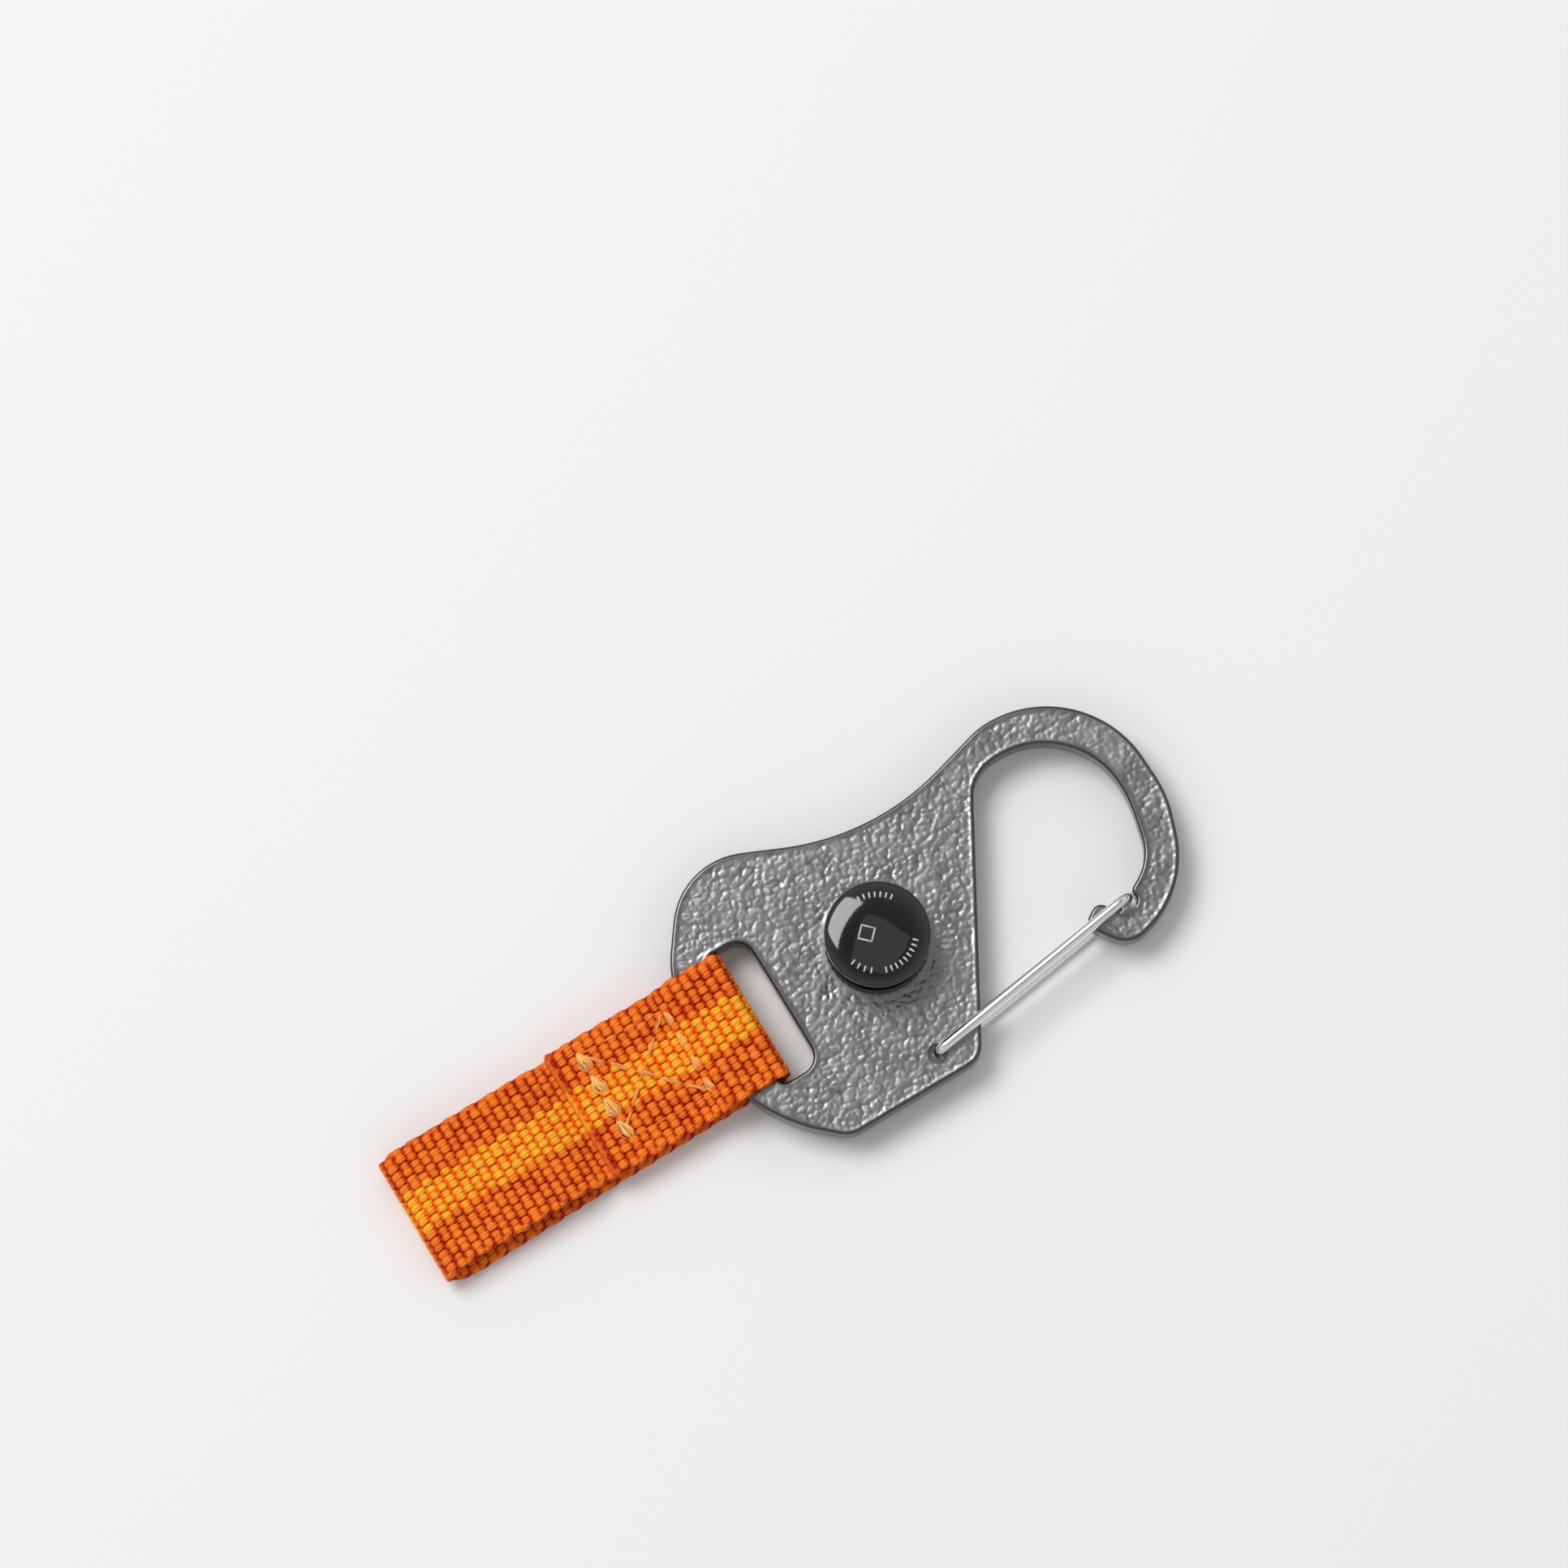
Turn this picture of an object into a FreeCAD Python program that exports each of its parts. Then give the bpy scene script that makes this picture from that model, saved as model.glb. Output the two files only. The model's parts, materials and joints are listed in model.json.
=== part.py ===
"""Carabiner keyring: a cast plate with a wire gate, a snap stud and a sewn webbing loop.

The sketch plane is the plate's own: X runs along the plate towards the hook, Y across it, Z up.
The stud's axis is X = 0, Y = 0 while the pieces are made, and Z = 0 is the surface that the
keyring lies on. The last step moves the whole assembly so that its origin is the bottom centre
of its bounding box.
"""
import FreeCAD, Part
import math
import os

V = FreeCAD.Vector
UP = V(0, 0, 1)
ARC_STEP = 1 - math.sqrt(0.5)   # middle of a quarter arc, in from its corner, per unit radius

# ---- Plate ---------------------------------------------------------------------------------
PLATE_T = 3.0            # thickness of the casting
PLATE_EDGE_R = 0.35      # rounded rim on both faces
BACK_X = -22.5           # rear edge, behind the webbing bar
HEEL_Y = -17.1           # straight lower edge
CROWN_Y = 15.1           # line that the top of the hook turns on
HOOK_X = 36.5            # front of the hook

# ---- Webbing bar and slot ------------------------------------------------------------------
BAR_W = 5.3              # metal left between the rear edge and the slot
SLOT_W = 4.9             # slot along X
SLOT_FRONT_R = 2.0       # corners on the stud's side
SLOT_REAR_R = 0.8        # corners on the bar's side, clear of the folded webbing
SLOT_SIDE_GAP = 0.35     # slot past each selvedge of the webbing

# ---- Gate wire -----------------------------------------------------------------------------
WIRE_D = 1.2
GATE_PIVOT = V(-0.4, -14.0, 0)
GATE_ANGLE = 8.6         # degrees from +X with the gate shut
GATE_LENGTH = 27.2       # pivot axis to the crossing piece
GATE_OPEN = 38.0         # degrees that the gate swings inwards
STUB_OFFSET = 2.7        # lower stub's distance from the pivot, along the gate
WIRE_BEND_R = 1.2        # centre line radius of each bend
LEG_GAP = 0.15           # between each leg and the plate's face
STUB_DEPTH = 1.9         # pivot stub's reach into the plate
LOWER_STUB_DEPTH = 1.2
STUB_END_GAP = 0.3       # floor of each hole past the stub's end
PIVOT_FIT = 0.05         # radial running clearance of the pivot stub
MOUTH_GAP = 0.35         # radial clearance of the relieved mouth of the pivot hole
MOUTH_DEPTH = 0.55
LOWER_STUB_GAP = 0.35    # radial clearance of the arc slot for the lower stub
NOTCH_RECESS_R = 1.3     # shallow relief in the top face round the notch
NOTCH_RECESS_DEPTH = 1.2
NOTCH_RECESS_BACK = 0.7  # relief's centre, back from the crossing piece along X
NOTCH_RECESS_DROP = 0.65 # and below it along Y

# ---- Snap stud -----------------------------------------------------------------------------
STUD_R = 5.9             # base flange and cap
STUD_BASE_T = 1.2
STUD_BASE_EDGE_R = 0.35
STUD_NECK_R = 3.3
STUD_NECK_H = 3.4
STUD_NECK_FILLET = 0.5
STUD_CAP_T = 2.2
STUD_CAP_RISE = 0.3      # underside of the cap slopes up to its rim
STUD_RIM_T = 1.0         # straight part of the cap's rim, which a sleeve fits
STUD_DOME_H = 0.2        # crown of the cap's face
SPIGOT_R = 1.5           # bonded spigot under the base
SPIGOT_L = 1.4
SPIGOT_GAP = 0.05        # adhesive all round the spigot

# ---- Webbing -------------------------------------------------------------------------------
WEB_W = 15.9             # width
PLY_T = 1.25             # thickness of one ply
PLY_GAP = 0.1            # between a ply and the plate's face
EYE_GAP = 0.35           # between the eye's fold and the bar
EYE_FOLD_R = 0.45        # inner corner radius of the fold in the slot
EYE_REAR = 1.2           # ends of the eye's plies, in from the bar's rear edge
SEWN_START = 1.5         # bar's rear edge to the sewn block
SEWN_LENGTH = 13.95      # sewn block, three plies
SEWN_NOSE_L = 2.4        # wedge at the block's front end, clear of the bar as it swings
SEWN_NOSE_T = 0.8        # thickness of the wedge's tip, level with the bar's middle
LOOP_LENGTH = 22.1       # open key loop beyond the sewn block
LOOP_H = 3.6             # outside height of the key loop

# ---- Stitching -----------------------------------------------------------------------------
THREAD_W = 0.45          # width of a row of thread
THREAD_H = 0.25          # height that the rows stand proud
BOX_LENGTH = 10.2        # sewn box along X
BOX_WIDTH = 10.6         # sewn box along Y
BOX_FRONT = 1.9          # bar's rear edge to the front row
BOBBIN_CLEAR = 0.05      # groove round the underside thread

# ---- Levels and places that follow ---------------------------------------------------------
PLATE_Z = WIRE_D + LEG_GAP
PLATE_TOP = PLATE_Z + PLATE_T
SLOT_X0 = BACK_X + BAR_W
SLOT_X1 = SLOT_X0 + SLOT_W
SLOT_L = WEB_W + 2 * SLOT_SIDE_GAP
SEWN_X1 = BACK_X - SEWN_START
SEWN_X0 = SEWN_X1 - SEWN_LENGTH
SEWN_H = 3 * PLY_T
GATE_DIR = V(math.cos(math.radians(GATE_ANGLE)), math.sin(math.radians(GATE_ANGLE)), 0)
CROSSING = GATE_PIVOT + GATE_DIR * GATE_LENGTH


def plate_corners():
    """Corners of the plate's outline with the radius that rounds each, counter-clockwise.

    The notch follows the gate's crossing piece, the hook's front follows HOOK_X and the rear
    edge follows BACK_X. The other corners are the casting's free shape.
    """
    notch = CROSSING
    return [
        (-13.6, HEEL_Y, 3.1),                      # rear end of the straight lower edge
        (3.3, HEEL_Y, 2.8),                        # foot of the spine
        (19.0, 10.8, 4.8),                         # inner corner, spine to hook
        (HOOK_X - 4.5, 11.8, 9.7),                 # inside of the hook, upper
        (HOOK_X - 4.0, -0.5, 15.0),                # inside of the hook, front
        (HOOK_X - 5.7, -7.5, 6.0),                 # inside of the hook, lower
        (notch.x + 0.75, notch.y + 0.5, 0.45),    # mouth of the notch, hook side
        (notch.x + 1.1, notch.y - 1.2, 0.9),       # floor of the notch, hook side
        (notch.x - 1.3, notch.y - 1.35, 0.7),      # floor of the notch, nose side
        (notch.x - 3.1, notch.y + 1.4, 1.05),      # tip of the nose
        (notch.x - 5.75, notch.y - 0.2, 1.2),      # back of the nose
        (notch.x - 2.6, notch.y - 4.9, 3.2),       # chin under the nose
        (HOOK_X - 3.6, -12.9, 12.0),               # outside of the hook, lower
        (HOOK_X, -2.2, 13.7),                      # outside of the hook, front
        (HOOK_X - 0.6, 14.7, 12.8),                # outside of the hook, upper
        (22.4, CROWN_Y, 8.8),                      # crown of the hook
        (6.0, 10.5, 28.8),                         # waist
        (-14.0, 19.3, 8.6),                        # shoulder
        (BACK_X, 7.7, 13.0),                       # rear edge, upper
        (BACK_X, -9.2, 19.8),                      # rear edge, lower
    ]


def rounded_wire(corners, z):
    """Closed wire of straight runs, with a tangent arc of its own radius at every corner."""
    points = [V(x, y, z) for x, y, _ in corners]
    ends = []
    for i, corner in enumerate(points):
        back = (points[i - 1] - corner).normalize()
        ahead = (points[(i + 1) % len(points)] - corner).normalize()
        half = back.getAngle(ahead) / 2
        radius = corners[i][2]
        reach = radius / math.tan(half)
        inward = (back + ahead).normalize()
        middle = corner + inward * (radius / math.sin(half) - radius)
        ends.append((corner + back * reach, middle, corner + ahead * reach))
    edges = []
    for i, (start, middle, end) in enumerate(ends):
        edges.append(Part.Arc(start, middle, end).toShape())
        following = ends[(i + 1) % len(ends)][0]
        if end.distanceToPoint(following) > 1e-6:
            edges.append(Part.LineSegment(end, following).toShape())
    return Part.Wire(edges)


def prism(corners, z, height):
    """Solid with a rounded outline, from z up."""
    return Part.Face(rounded_wire(corners, z)).extrude(UP * height)


def along_y(points, width):
    """Prism across the webbing's width from an X, Z outline of straight runs and arcs.

    An entry is (x, z) for a straight run to that point, or (x, z, mid_x, mid_z) for an arc to it.
    """
    edges = []
    last = points[-1]
    here = V(last[0], -width / 2, last[1])
    for entry in points:
        there = V(entry[0], -width / 2, entry[1])
        if len(entry) == 4:
            middle = V(entry[2], -width / 2, entry[3])
            edges.append(Part.Arc(here, middle, there).toShape())
        else:
            edges.append(Part.LineSegment(here, there).toShape())
        here = there
    return Part.Face(Part.Wire(edges)).extrude(V(0, width, 0))


def rim_edges(solid):
    """Edges that lie in the plate's top and bottom faces."""
    found = []
    for edge in solid.Edges:
        box = edge.BoundBox
        flat = box.ZLength < 1e-6
        on_face = min(abs(box.ZMin - PLATE_Z), abs(box.ZMin - PLATE_TOP)) < 1e-6
        if flat and on_face:
            found.append(edge)
    return found


def lower_stub_slot():
    """Arc slot in the underside that the lower stub sweeps as the gate opens."""
    radius = WIRE_D / 2 + LOWER_STUB_GAP
    depth = LOWER_STUB_DEPTH + STUB_END_GAP
    start = math.radians(GATE_ANGLE)
    end = start + math.radians(GATE_OPEN)

    def at(angle, distance):
        return GATE_PIVOT + V(math.cos(angle), math.sin(angle), 0) * distance + UP * PLATE_Z

    middle = (start + end) / 2
    inner = STUB_OFFSET - radius
    outer = STUB_OFFSET + radius
    over = radius / STUB_OFFSET
    edges = [
        Part.Arc(at(start, outer), at(middle, outer), at(end, outer)).toShape(),
        Part.Arc(at(end, outer), at(end + over, STUB_OFFSET), at(end, inner)).toShape(),
        Part.Arc(at(end, inner), at(middle, inner), at(start, inner)).toShape(),
        Part.Arc(at(start, inner), at(start - over, STUB_OFFSET), at(start, outer)).toShape(),
    ]
    return Part.Face(Part.Wire(edges)).extrude(UP * depth)


def slot_corners():
    half = SLOT_L / 2
    return [
        (SLOT_X0, -half, SLOT_REAR_R),
        (SLOT_X1, -half, SLOT_FRONT_R),
        (SLOT_X1, half, SLOT_FRONT_R),
        (SLOT_X0, half, SLOT_REAR_R),
    ]


def carabiner_plate():
    """Cast plate: hook, nose, notch, webbing slot, gate holes and the stud's socket."""
    plate = prism(plate_corners(), PLATE_Z, PLATE_T)
    plate = plate.cut(prism(slot_corners(), PLATE_Z, PLATE_T))
    plate = plate.makeFillet(PLATE_EDGE_R, rim_edges(plate))
    recess_at = CROSSING - V(NOTCH_RECESS_BACK, NOTCH_RECESS_DROP, 0)
    recess_floor = V(0, 0, PLATE_TOP - NOTCH_RECESS_DEPTH)
    recess = Part.makeCylinder(NOTCH_RECESS_R, NOTCH_RECESS_DEPTH, recess_at + recess_floor)
    hole_depth = STUB_DEPTH + STUB_END_GAP
    hole = Part.makeCylinder(
        WIRE_D / 2 + PIVOT_FIT, hole_depth, GATE_PIVOT + UP * (PLATE_TOP - hole_depth)
    )
    mouth = Part.makeCylinder(
        WIRE_D / 2 + MOUTH_GAP, MOUTH_DEPTH, GATE_PIVOT + UP * (PLATE_TOP - MOUTH_DEPTH)
    )
    socket_depth = SPIGOT_L + SPIGOT_GAP
    socket = Part.makeCylinder(
        SPIGOT_R + SPIGOT_GAP, socket_depth, V(0, 0, PLATE_TOP - socket_depth)
    )
    return plate.cut([recess, hole, mouth, socket, lower_stub_slot()])


def gate_wire():
    """One wire: pivot stub, top leg, crossing piece, lower leg and lower stub."""
    upper_z = PLATE_TOP + LEG_GAP + WIRE_D / 2
    lower_z = PLATE_Z - LEG_GAP - WIRE_D / 2
    route = [
        (0.0, PLATE_TOP - STUB_DEPTH),
        (0.0, upper_z),
        (GATE_LENGTH, upper_z),
        (GATE_LENGTH, lower_z),
        (STUB_OFFSET, lower_z),
        (STUB_OFFSET, PLATE_Z + LOWER_STUB_DEPTH),
    ]
    points = [GATE_PIVOT + GATE_DIR * along + UP * z for along, z in route]
    edges = []
    here = points[0]
    for before, corner, after in zip(points, points[1:], points[2:]):
        back = (before - corner).normalize()
        ahead = (after - corner).normalize()
        start = corner + back * WIRE_BEND_R
        end = corner + ahead * WIRE_BEND_R
        centre = corner + (back + ahead) * WIRE_BEND_R
        middle = centre + (corner - centre).normalize() * WIRE_BEND_R
        edges.append(Part.LineSegment(here, start).toShape())
        edges.append(Part.Arc(start, middle, end).toShape())
        here = end
    edges.append(Part.LineSegment(here, points[-1]).toShape())
    section = Part.Wire([Part.makeCircle(WIRE_D / 2, points[0], UP)])
    return Part.Wire(edges).makePipeShell([section], True, False)


def snap_stud():
    """Moulded stud, turned about its axis: spigot, base flange, neck and domed cap."""
    base_z = PLATE_TOP
    neck_z = base_z + STUD_BASE_T
    cap_z = neck_z + STUD_NECK_H
    rim_z = cap_z + STUD_CAP_RISE
    rim_top = rim_z + STUD_RIM_T
    face_z = cap_z + STUD_CAP_T
    dome_z = face_z + STUD_DOME_H
    shoulder = face_z - rim_top

    def line(a, b):
        return Part.LineSegment(V(a[0], 0, a[1]), V(b[0], 0, b[1])).toShape()

    def arc(a, m, b):
        return Part.Arc(V(a[0], 0, a[1]), V(m[0], 0, m[1]), V(b[0], 0, b[1])).toShape()

    edge = STUD_BASE_EDGE_R
    edge_step = edge * ARC_STEP
    fillet = STUD_NECK_FILLET
    fillet_step = fillet * ARC_STEP
    shoulder_step = shoulder * ARC_STEP
    face_r = STUD_R - shoulder
    dome_r = (face_r**2 + STUD_DOME_H**2) / (2 * STUD_DOME_H)
    dome_mid_z = dome_z - dome_r + math.sqrt(dome_r**2 - (face_r / 2) ** 2)
    foot_z = base_z - SPIGOT_L
    profile = [
        line((0, foot_z), (SPIGOT_R, foot_z)),
        line((SPIGOT_R, foot_z), (SPIGOT_R, base_z)),
        line((SPIGOT_R, base_z), (STUD_R, base_z)),
        line((STUD_R, base_z), (STUD_R, neck_z - edge)),
        arc((STUD_R, neck_z - edge), (STUD_R - edge_step, neck_z - edge_step), (STUD_R - edge, neck_z)),
        line((STUD_R - edge, neck_z), (STUD_NECK_R + fillet, neck_z)),
        arc(
            (STUD_NECK_R + fillet, neck_z),
            (STUD_NECK_R + fillet_step, neck_z + fillet_step),
            (STUD_NECK_R, neck_z + fillet),
        ),
        line((STUD_NECK_R, neck_z + fillet), (STUD_NECK_R, cap_z)),
        line((STUD_NECK_R, cap_z), (STUD_R, rim_z)),
        line((STUD_R, rim_z), (STUD_R, rim_top)),
        arc(
            (STUD_R, rim_top),
            (STUD_R - shoulder_step, face_z - shoulder_step),
            (face_r, face_z),
        ),
        arc((face_r, face_z), (face_r / 2, dome_mid_z), (0, dome_z)),
        line((0, dome_z), (0, foot_z)),
    ]
    return Part.Face(Part.Wire(profile)).revolve(V(0, 0, 0), UP, 360)


def webbing_eye():
    """Webbing round the bar: bottom ply, fold through the slot and top ply."""
    rear = BACK_X + EYE_REAR
    front = SLOT_X0 + EYE_GAP + PLY_T
    inner_front = front - PLY_T
    top = PLATE_TOP + PLY_GAP + PLY_T
    bottom = PLATE_Z - PLY_GAP - PLY_T
    inner_r = EYE_FOLD_R
    outer_r = EYE_FOLD_R + PLY_T
    outer_step = outer_r * ARC_STEP
    inner_step = inner_r * ARC_STEP
    inner_top = top - PLY_T
    inner_bottom = bottom + PLY_T
    outline = [
        (front - outer_r, bottom),
        (front, bottom + outer_r, front - outer_step, bottom + outer_step),
        (front, top - outer_r),
        (front - outer_r, top, front - outer_step, top - outer_step),
        (rear, top),
        (rear, inner_top),
        (inner_front - inner_r, inner_top),
        (inner_front, inner_top - inner_r, inner_front - inner_step, inner_top - inner_step),
        (inner_front, inner_bottom + inner_r),
        (inner_front - inner_r, inner_bottom, inner_front - inner_step, inner_bottom + inner_step),
        (rear, inner_bottom),
        (rear, bottom),
    ]
    return along_y(outline, WEB_W)


def stitch_rows(z, height, spread):
    """Sewn box with a cross in it, as one flat solid of thread rows. spread widens each row."""
    x1 = BACK_X - BOX_FRONT
    x0 = x1 - BOX_LENGTH
    y0 = -BOX_WIDTH / 2
    y1 = BOX_WIDTH / 2
    corners = [(x0, y0), (x1, y0), (x1, y1), (x0, y1)]
    runs = [(corners[i], corners[(i + 1) % 4]) for i in range(4)]
    runs.append((corners[0], corners[2]))
    runs.append((corners[1], corners[3]))
    width = THREAD_W + 2 * spread
    rows = []
    for (ax, ay), (bx, by) in runs:
        length = math.hypot(bx - ax, by - ay)
        row = Part.makeBox(length + width, width, height, V(-width / 2, -width / 2, 0))
        row.rotate(V(0, 0, 0), UP, math.degrees(math.atan2(by - ay, bx - ax)))
        row.translate(V(ax, ay, z))
        rows.append(row)
    return rows[0].fuse(rows[1:]).removeSplitter()


def webbing_strap():
    """Sewn block of three plies and the open key loop behind it, as one plain solid."""
    loop_x0 = SEWN_X0 - LOOP_LENGTH
    nose_x = SEWN_X1 - SEWN_NOSE_L
    nose_z0 = PLATE_Z + (PLATE_T - SEWN_NOSE_T) / 2
    nose_z1 = nose_z0 + SEWN_NOSE_T
    underside = [(SEWN_X0, 0), (nose_x, 0), (SEWN_X1, nose_z0)]
    upper_side = [(SEWN_X1, nose_z1), (nose_x, SEWN_H), (SEWN_X0, SEWN_H)]
    block = along_y(underside + upper_side, WEB_W)
    radius = LOOP_H / 2
    inner = radius - PLY_T
    far = loop_x0 + radius
    loop = along_y(
        [
            (SEWN_X0, 0),
            (SEWN_X0, PLY_T),
            (far, PLY_T),
            (far, LOOP_H - PLY_T, far - inner, radius),
            (SEWN_X0, LOOP_H - PLY_T),
            (SEWN_X0, LOOP_H),
            (far, LOOP_H),
            (far, 0, loop_x0, radius),
        ],
        WEB_W,
    )
    groove = stitch_rows(0, THREAD_H + BOBBIN_CLEAR, BOBBIN_CLEAR)
    return block.fuse(loop).removeSplitter().cut(groove)


def assembly():
    """Every node's solid, in the sketch's own frame."""
    return {
        "carabiner_plate": carabiner_plate(),
        "gate_wire": gate_wire(),
        "snap_stud": snap_stud(),
        "webbing_eye": webbing_eye(),
        "webbing_strap": webbing_strap(),
        "needle_thread": stitch_rows(SEWN_H, THREAD_H, 0),
        "bobbin_thread": stitch_rows(0, THREAD_H, 0),
    }


def main():
    os.makedirs("parts", exist_ok=True)
    solids = assembly()
    whole = Part.makeCompound(list(solids.values())).optimalBoundingBox(False, False)
    shift = V(-(whole.XMin + whole.XMax) / 2, -(whole.YMin + whole.YMax) / 2, -whole.ZMin)
    for name, solid in solids.items():
        placed = solid.copy()
        placed.translate(shift)
        placed.exportStep(f"parts/{name}.step")
    print(f"size {whole.XLength:.2f} x {whole.YLength:.2f} x {whole.ZLength:.2f} mm")
    print(f"stud axis at x {shift.x:.3f}, y {shift.y:.3f} mm")


main()
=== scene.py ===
"""Carabiner keyring: the visual model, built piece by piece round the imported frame."""

import json
import math

import bmesh
import bpy
import numpy as np
from bpy.props import FloatProperty, FloatVectorProperty, IntProperty, PointerProperty
from mathutils import Matrix, Vector, kdtree
from mathutils.geometry import delaunay_2d_cdt


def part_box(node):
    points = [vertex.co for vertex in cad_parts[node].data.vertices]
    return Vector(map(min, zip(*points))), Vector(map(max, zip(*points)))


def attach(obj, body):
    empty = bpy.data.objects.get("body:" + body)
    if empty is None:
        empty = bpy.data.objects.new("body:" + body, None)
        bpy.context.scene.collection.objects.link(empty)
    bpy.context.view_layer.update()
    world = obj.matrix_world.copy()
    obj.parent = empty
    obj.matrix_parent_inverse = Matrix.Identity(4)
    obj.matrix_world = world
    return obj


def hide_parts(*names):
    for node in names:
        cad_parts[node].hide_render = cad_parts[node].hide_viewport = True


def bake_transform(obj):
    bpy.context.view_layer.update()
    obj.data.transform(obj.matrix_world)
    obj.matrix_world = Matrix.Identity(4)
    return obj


bl_info = {
    "name": "Carabiner keyring",
    "version": (1, 0, 0),
    "blender": (4, 5, 0),
    "location": "View3D > Sidebar > Keyring",
    "description": "Builds a cast carabiner plate with a wire gate, a snap stud and a sewn webbing loop",
    "category": "Object",
}

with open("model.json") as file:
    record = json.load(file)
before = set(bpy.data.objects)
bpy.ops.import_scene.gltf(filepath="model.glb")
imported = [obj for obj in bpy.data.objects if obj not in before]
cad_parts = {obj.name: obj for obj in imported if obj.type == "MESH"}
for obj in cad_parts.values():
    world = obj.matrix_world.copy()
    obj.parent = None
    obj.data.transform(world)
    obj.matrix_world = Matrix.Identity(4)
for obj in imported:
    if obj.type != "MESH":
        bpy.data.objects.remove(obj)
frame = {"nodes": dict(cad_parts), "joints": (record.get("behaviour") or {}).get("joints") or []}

MM = 0.001
STUD_LOW, STUD_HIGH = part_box("snap_stud")
AXIS = np.array([(STUD_LOW.x + STUD_HIGH.x) / 2, (STUD_LOW.y + STUD_HIGH.y) / 2, 0.0])


# ---- Sizes and colours -----------------------------------------------------------------------
def length(name, description, default_mm):
    """A length, held in metres."""
    return FloatProperty(
        name=name, description=description, default=default_mm * MM, min=0.0, precision=5, unit="LENGTH"
    )


def power(name, description, default):
    return FloatProperty(name=name, description=description, default=default, unit="POWER")


def count(name, description, default):
    return IntProperty(name=name, description=description, default=default, min=1)


def share(name, description, default):
    return FloatProperty(
        name=name, description=description, default=default, min=0.0, max=1.0, subtype="FACTOR"
    )


def colour(name, description, default):
    return FloatVectorProperty(
        name=name, description=description, default=default, size=3, min=0.0, max=1.0, subtype="COLOR"
    )


class PlateSettings(bpy.types.PropertyGroup):
    rim: length("Rim radius", "Smooth rounded edge of the casting", 0.35)
    dent: length("Dent depth", "Depth of the hammered face's hollows", 0.118)
    cell: length("Dent spacing", "Distance between neighbouring bumps", 0.76)
    top_grid: length("Top grid", "Mesh spacing of the upper face", 0.16)
    under_grid: length("Under grid", "Mesh spacing of the lower face", 0.24)
    seat: length("Stud seat", "Radius of the flat seat under the stud", 5.7)
    hole: length("Pivot hole", "Radius of the gate's pivot hole", 0.65)
    mouth: length("Hole mouth", "Radius of the relieved mouth of the pivot hole", 1.15)
    mouth_depth: length("Mouth depth", "Depth of the relieved mouth", 1.3)
    hole_depth: length("Hole depth", "Depth of the pivot hole", 2.2)
    recess: length("Notch recess", "Radius of the relief round the notch", 1.3)
    recess_depth: length("Recess depth", "Depth of the relief round the notch", 1.2)
    stub_slot: length("Stub slot", "Half width of the arc slot for the gate's lower stub", 0.95)
    stub_slot_depth: length("Stub slot depth", "Depth of the arc slot", 1.5)
    metal: colour("Metal", "Gunmetal plating", (0.3, 0.292, 0.294))
    # Painted shade: darker colour on the rounded rim, the walls and the hollows, standing for the dark
    # reflections and shade there.
    rim_painted_shade: colour("Rim painted shade", "Painted shade on the smooth rim and walls", (0.11, 0.105, 0.105))
    roughness: share("Roughness", "Roughness of the plating", 0.33)


class GateSettings(bpy.types.PropertyGroup):
    wire: length("Wire", "Diameter of the spring wire", 1.2)
    reach: length("Reach", "Pivot to the crossing piece", 27.2)
    stub_offset: length("Stub offset", "Lower stub's distance from the pivot", 2.7)
    bend: length("Bend radius", "Centre line radius of each bend", 1.2)
    stub: length("Pivot stub", "Reach of the pivot stub into the plate", 1.9)
    lower_stub: length("Lower stub", "Reach of the lower stub into the plate", 1.2)
    angle: FloatProperty(
        name="Closed angle",
        description="Direction of the shut gate",
        default=math.radians(8.6),
        unit="ROTATION",
    )
    steel: colour("Steel", "Polished spring steel", (0.93, 0.915, 0.89))
    roughness: share("Roughness", "Roughness of the wire", 0.11)


class StudSettings(bpy.types.PropertyGroup):
    base: length("Base", "Thickness of the base flange", 1.2)
    neck: length("Neck", "Radius of the neck", 3.3)
    neck_height: length("Neck height", "Height of the neck", 3.4)
    rim: length("Rim", "Straight part of the cap's rim", 1.0)
    rise: length("Rise", "Slope under the cap", 0.3)
    shoulder: length("Shoulder", "Width of the cap's rounded shoulder", 5.5)
    print_height: length("Print height", "Thickness of the printed ticks", 0.02)
    plastic: colour("Plastic", "Glossy moulding", (0.004, 0.004, 0.005))
    ink: colour("Print", "Printed ticks", (0.68, 0.66, 0.6))


class WebbingSettings(bpy.types.PropertyGroup):
    ply: length("Ply", "Thickness of one ply", 1.25)
    sewn: length("Sewn length", "Length of the three sewn plies", 13.95)
    loop: length("Loop height", "Outside height of the key loop", 3.6)
    fold: length("Fold radius", "Inner radius of the fold through the slot", 0.45)
    rib: length("Rib pitch", "Distance from one rib to the next", 1.205)
    yarns: count("Warp yarns", "Number of warp yarns across the webbing", 35)
    swing: length("Wave", "How far a warp yarn goes up and down", 0.32)
    thick: length("Yarn half thickness", "Half of a warp yarn's thickness", 0.3)
    # Rust and gold are the lit colours on the beads' crests; the deep ones are painted shade between the
    # beads.
    rust: colour("Rust", "Outer bands", (1.0, 0.215, 0.016))
    rust_painted_shade: colour("Rust painted shade", "Painted shade of the outer bands between the beads", (0.46, 0.009, 0.0))
    gold: colour("Gold", "Centre band", (1.0, 0.46, 0.025))
    gold_painted_shade: colour("Gold painted shade", "Painted shade of the centre band between the beads", (0.95, 0.1, 0.001))


class StitchSettings(bpy.types.PropertyGroup):
    filament: length("Filament", "Radius of one thread filament", 0.045)
    peach: colour("Peach", "Thread on the tufts", (1.0, 0.53, 0.17))
    # Painted shade: the colour the thread takes where it sinks into the webbing.
    pinched_painted_shade: colour("Pinched painted shade", "Thread where it goes into the webbing", (0.86, 0.15, 0.015))


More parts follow.
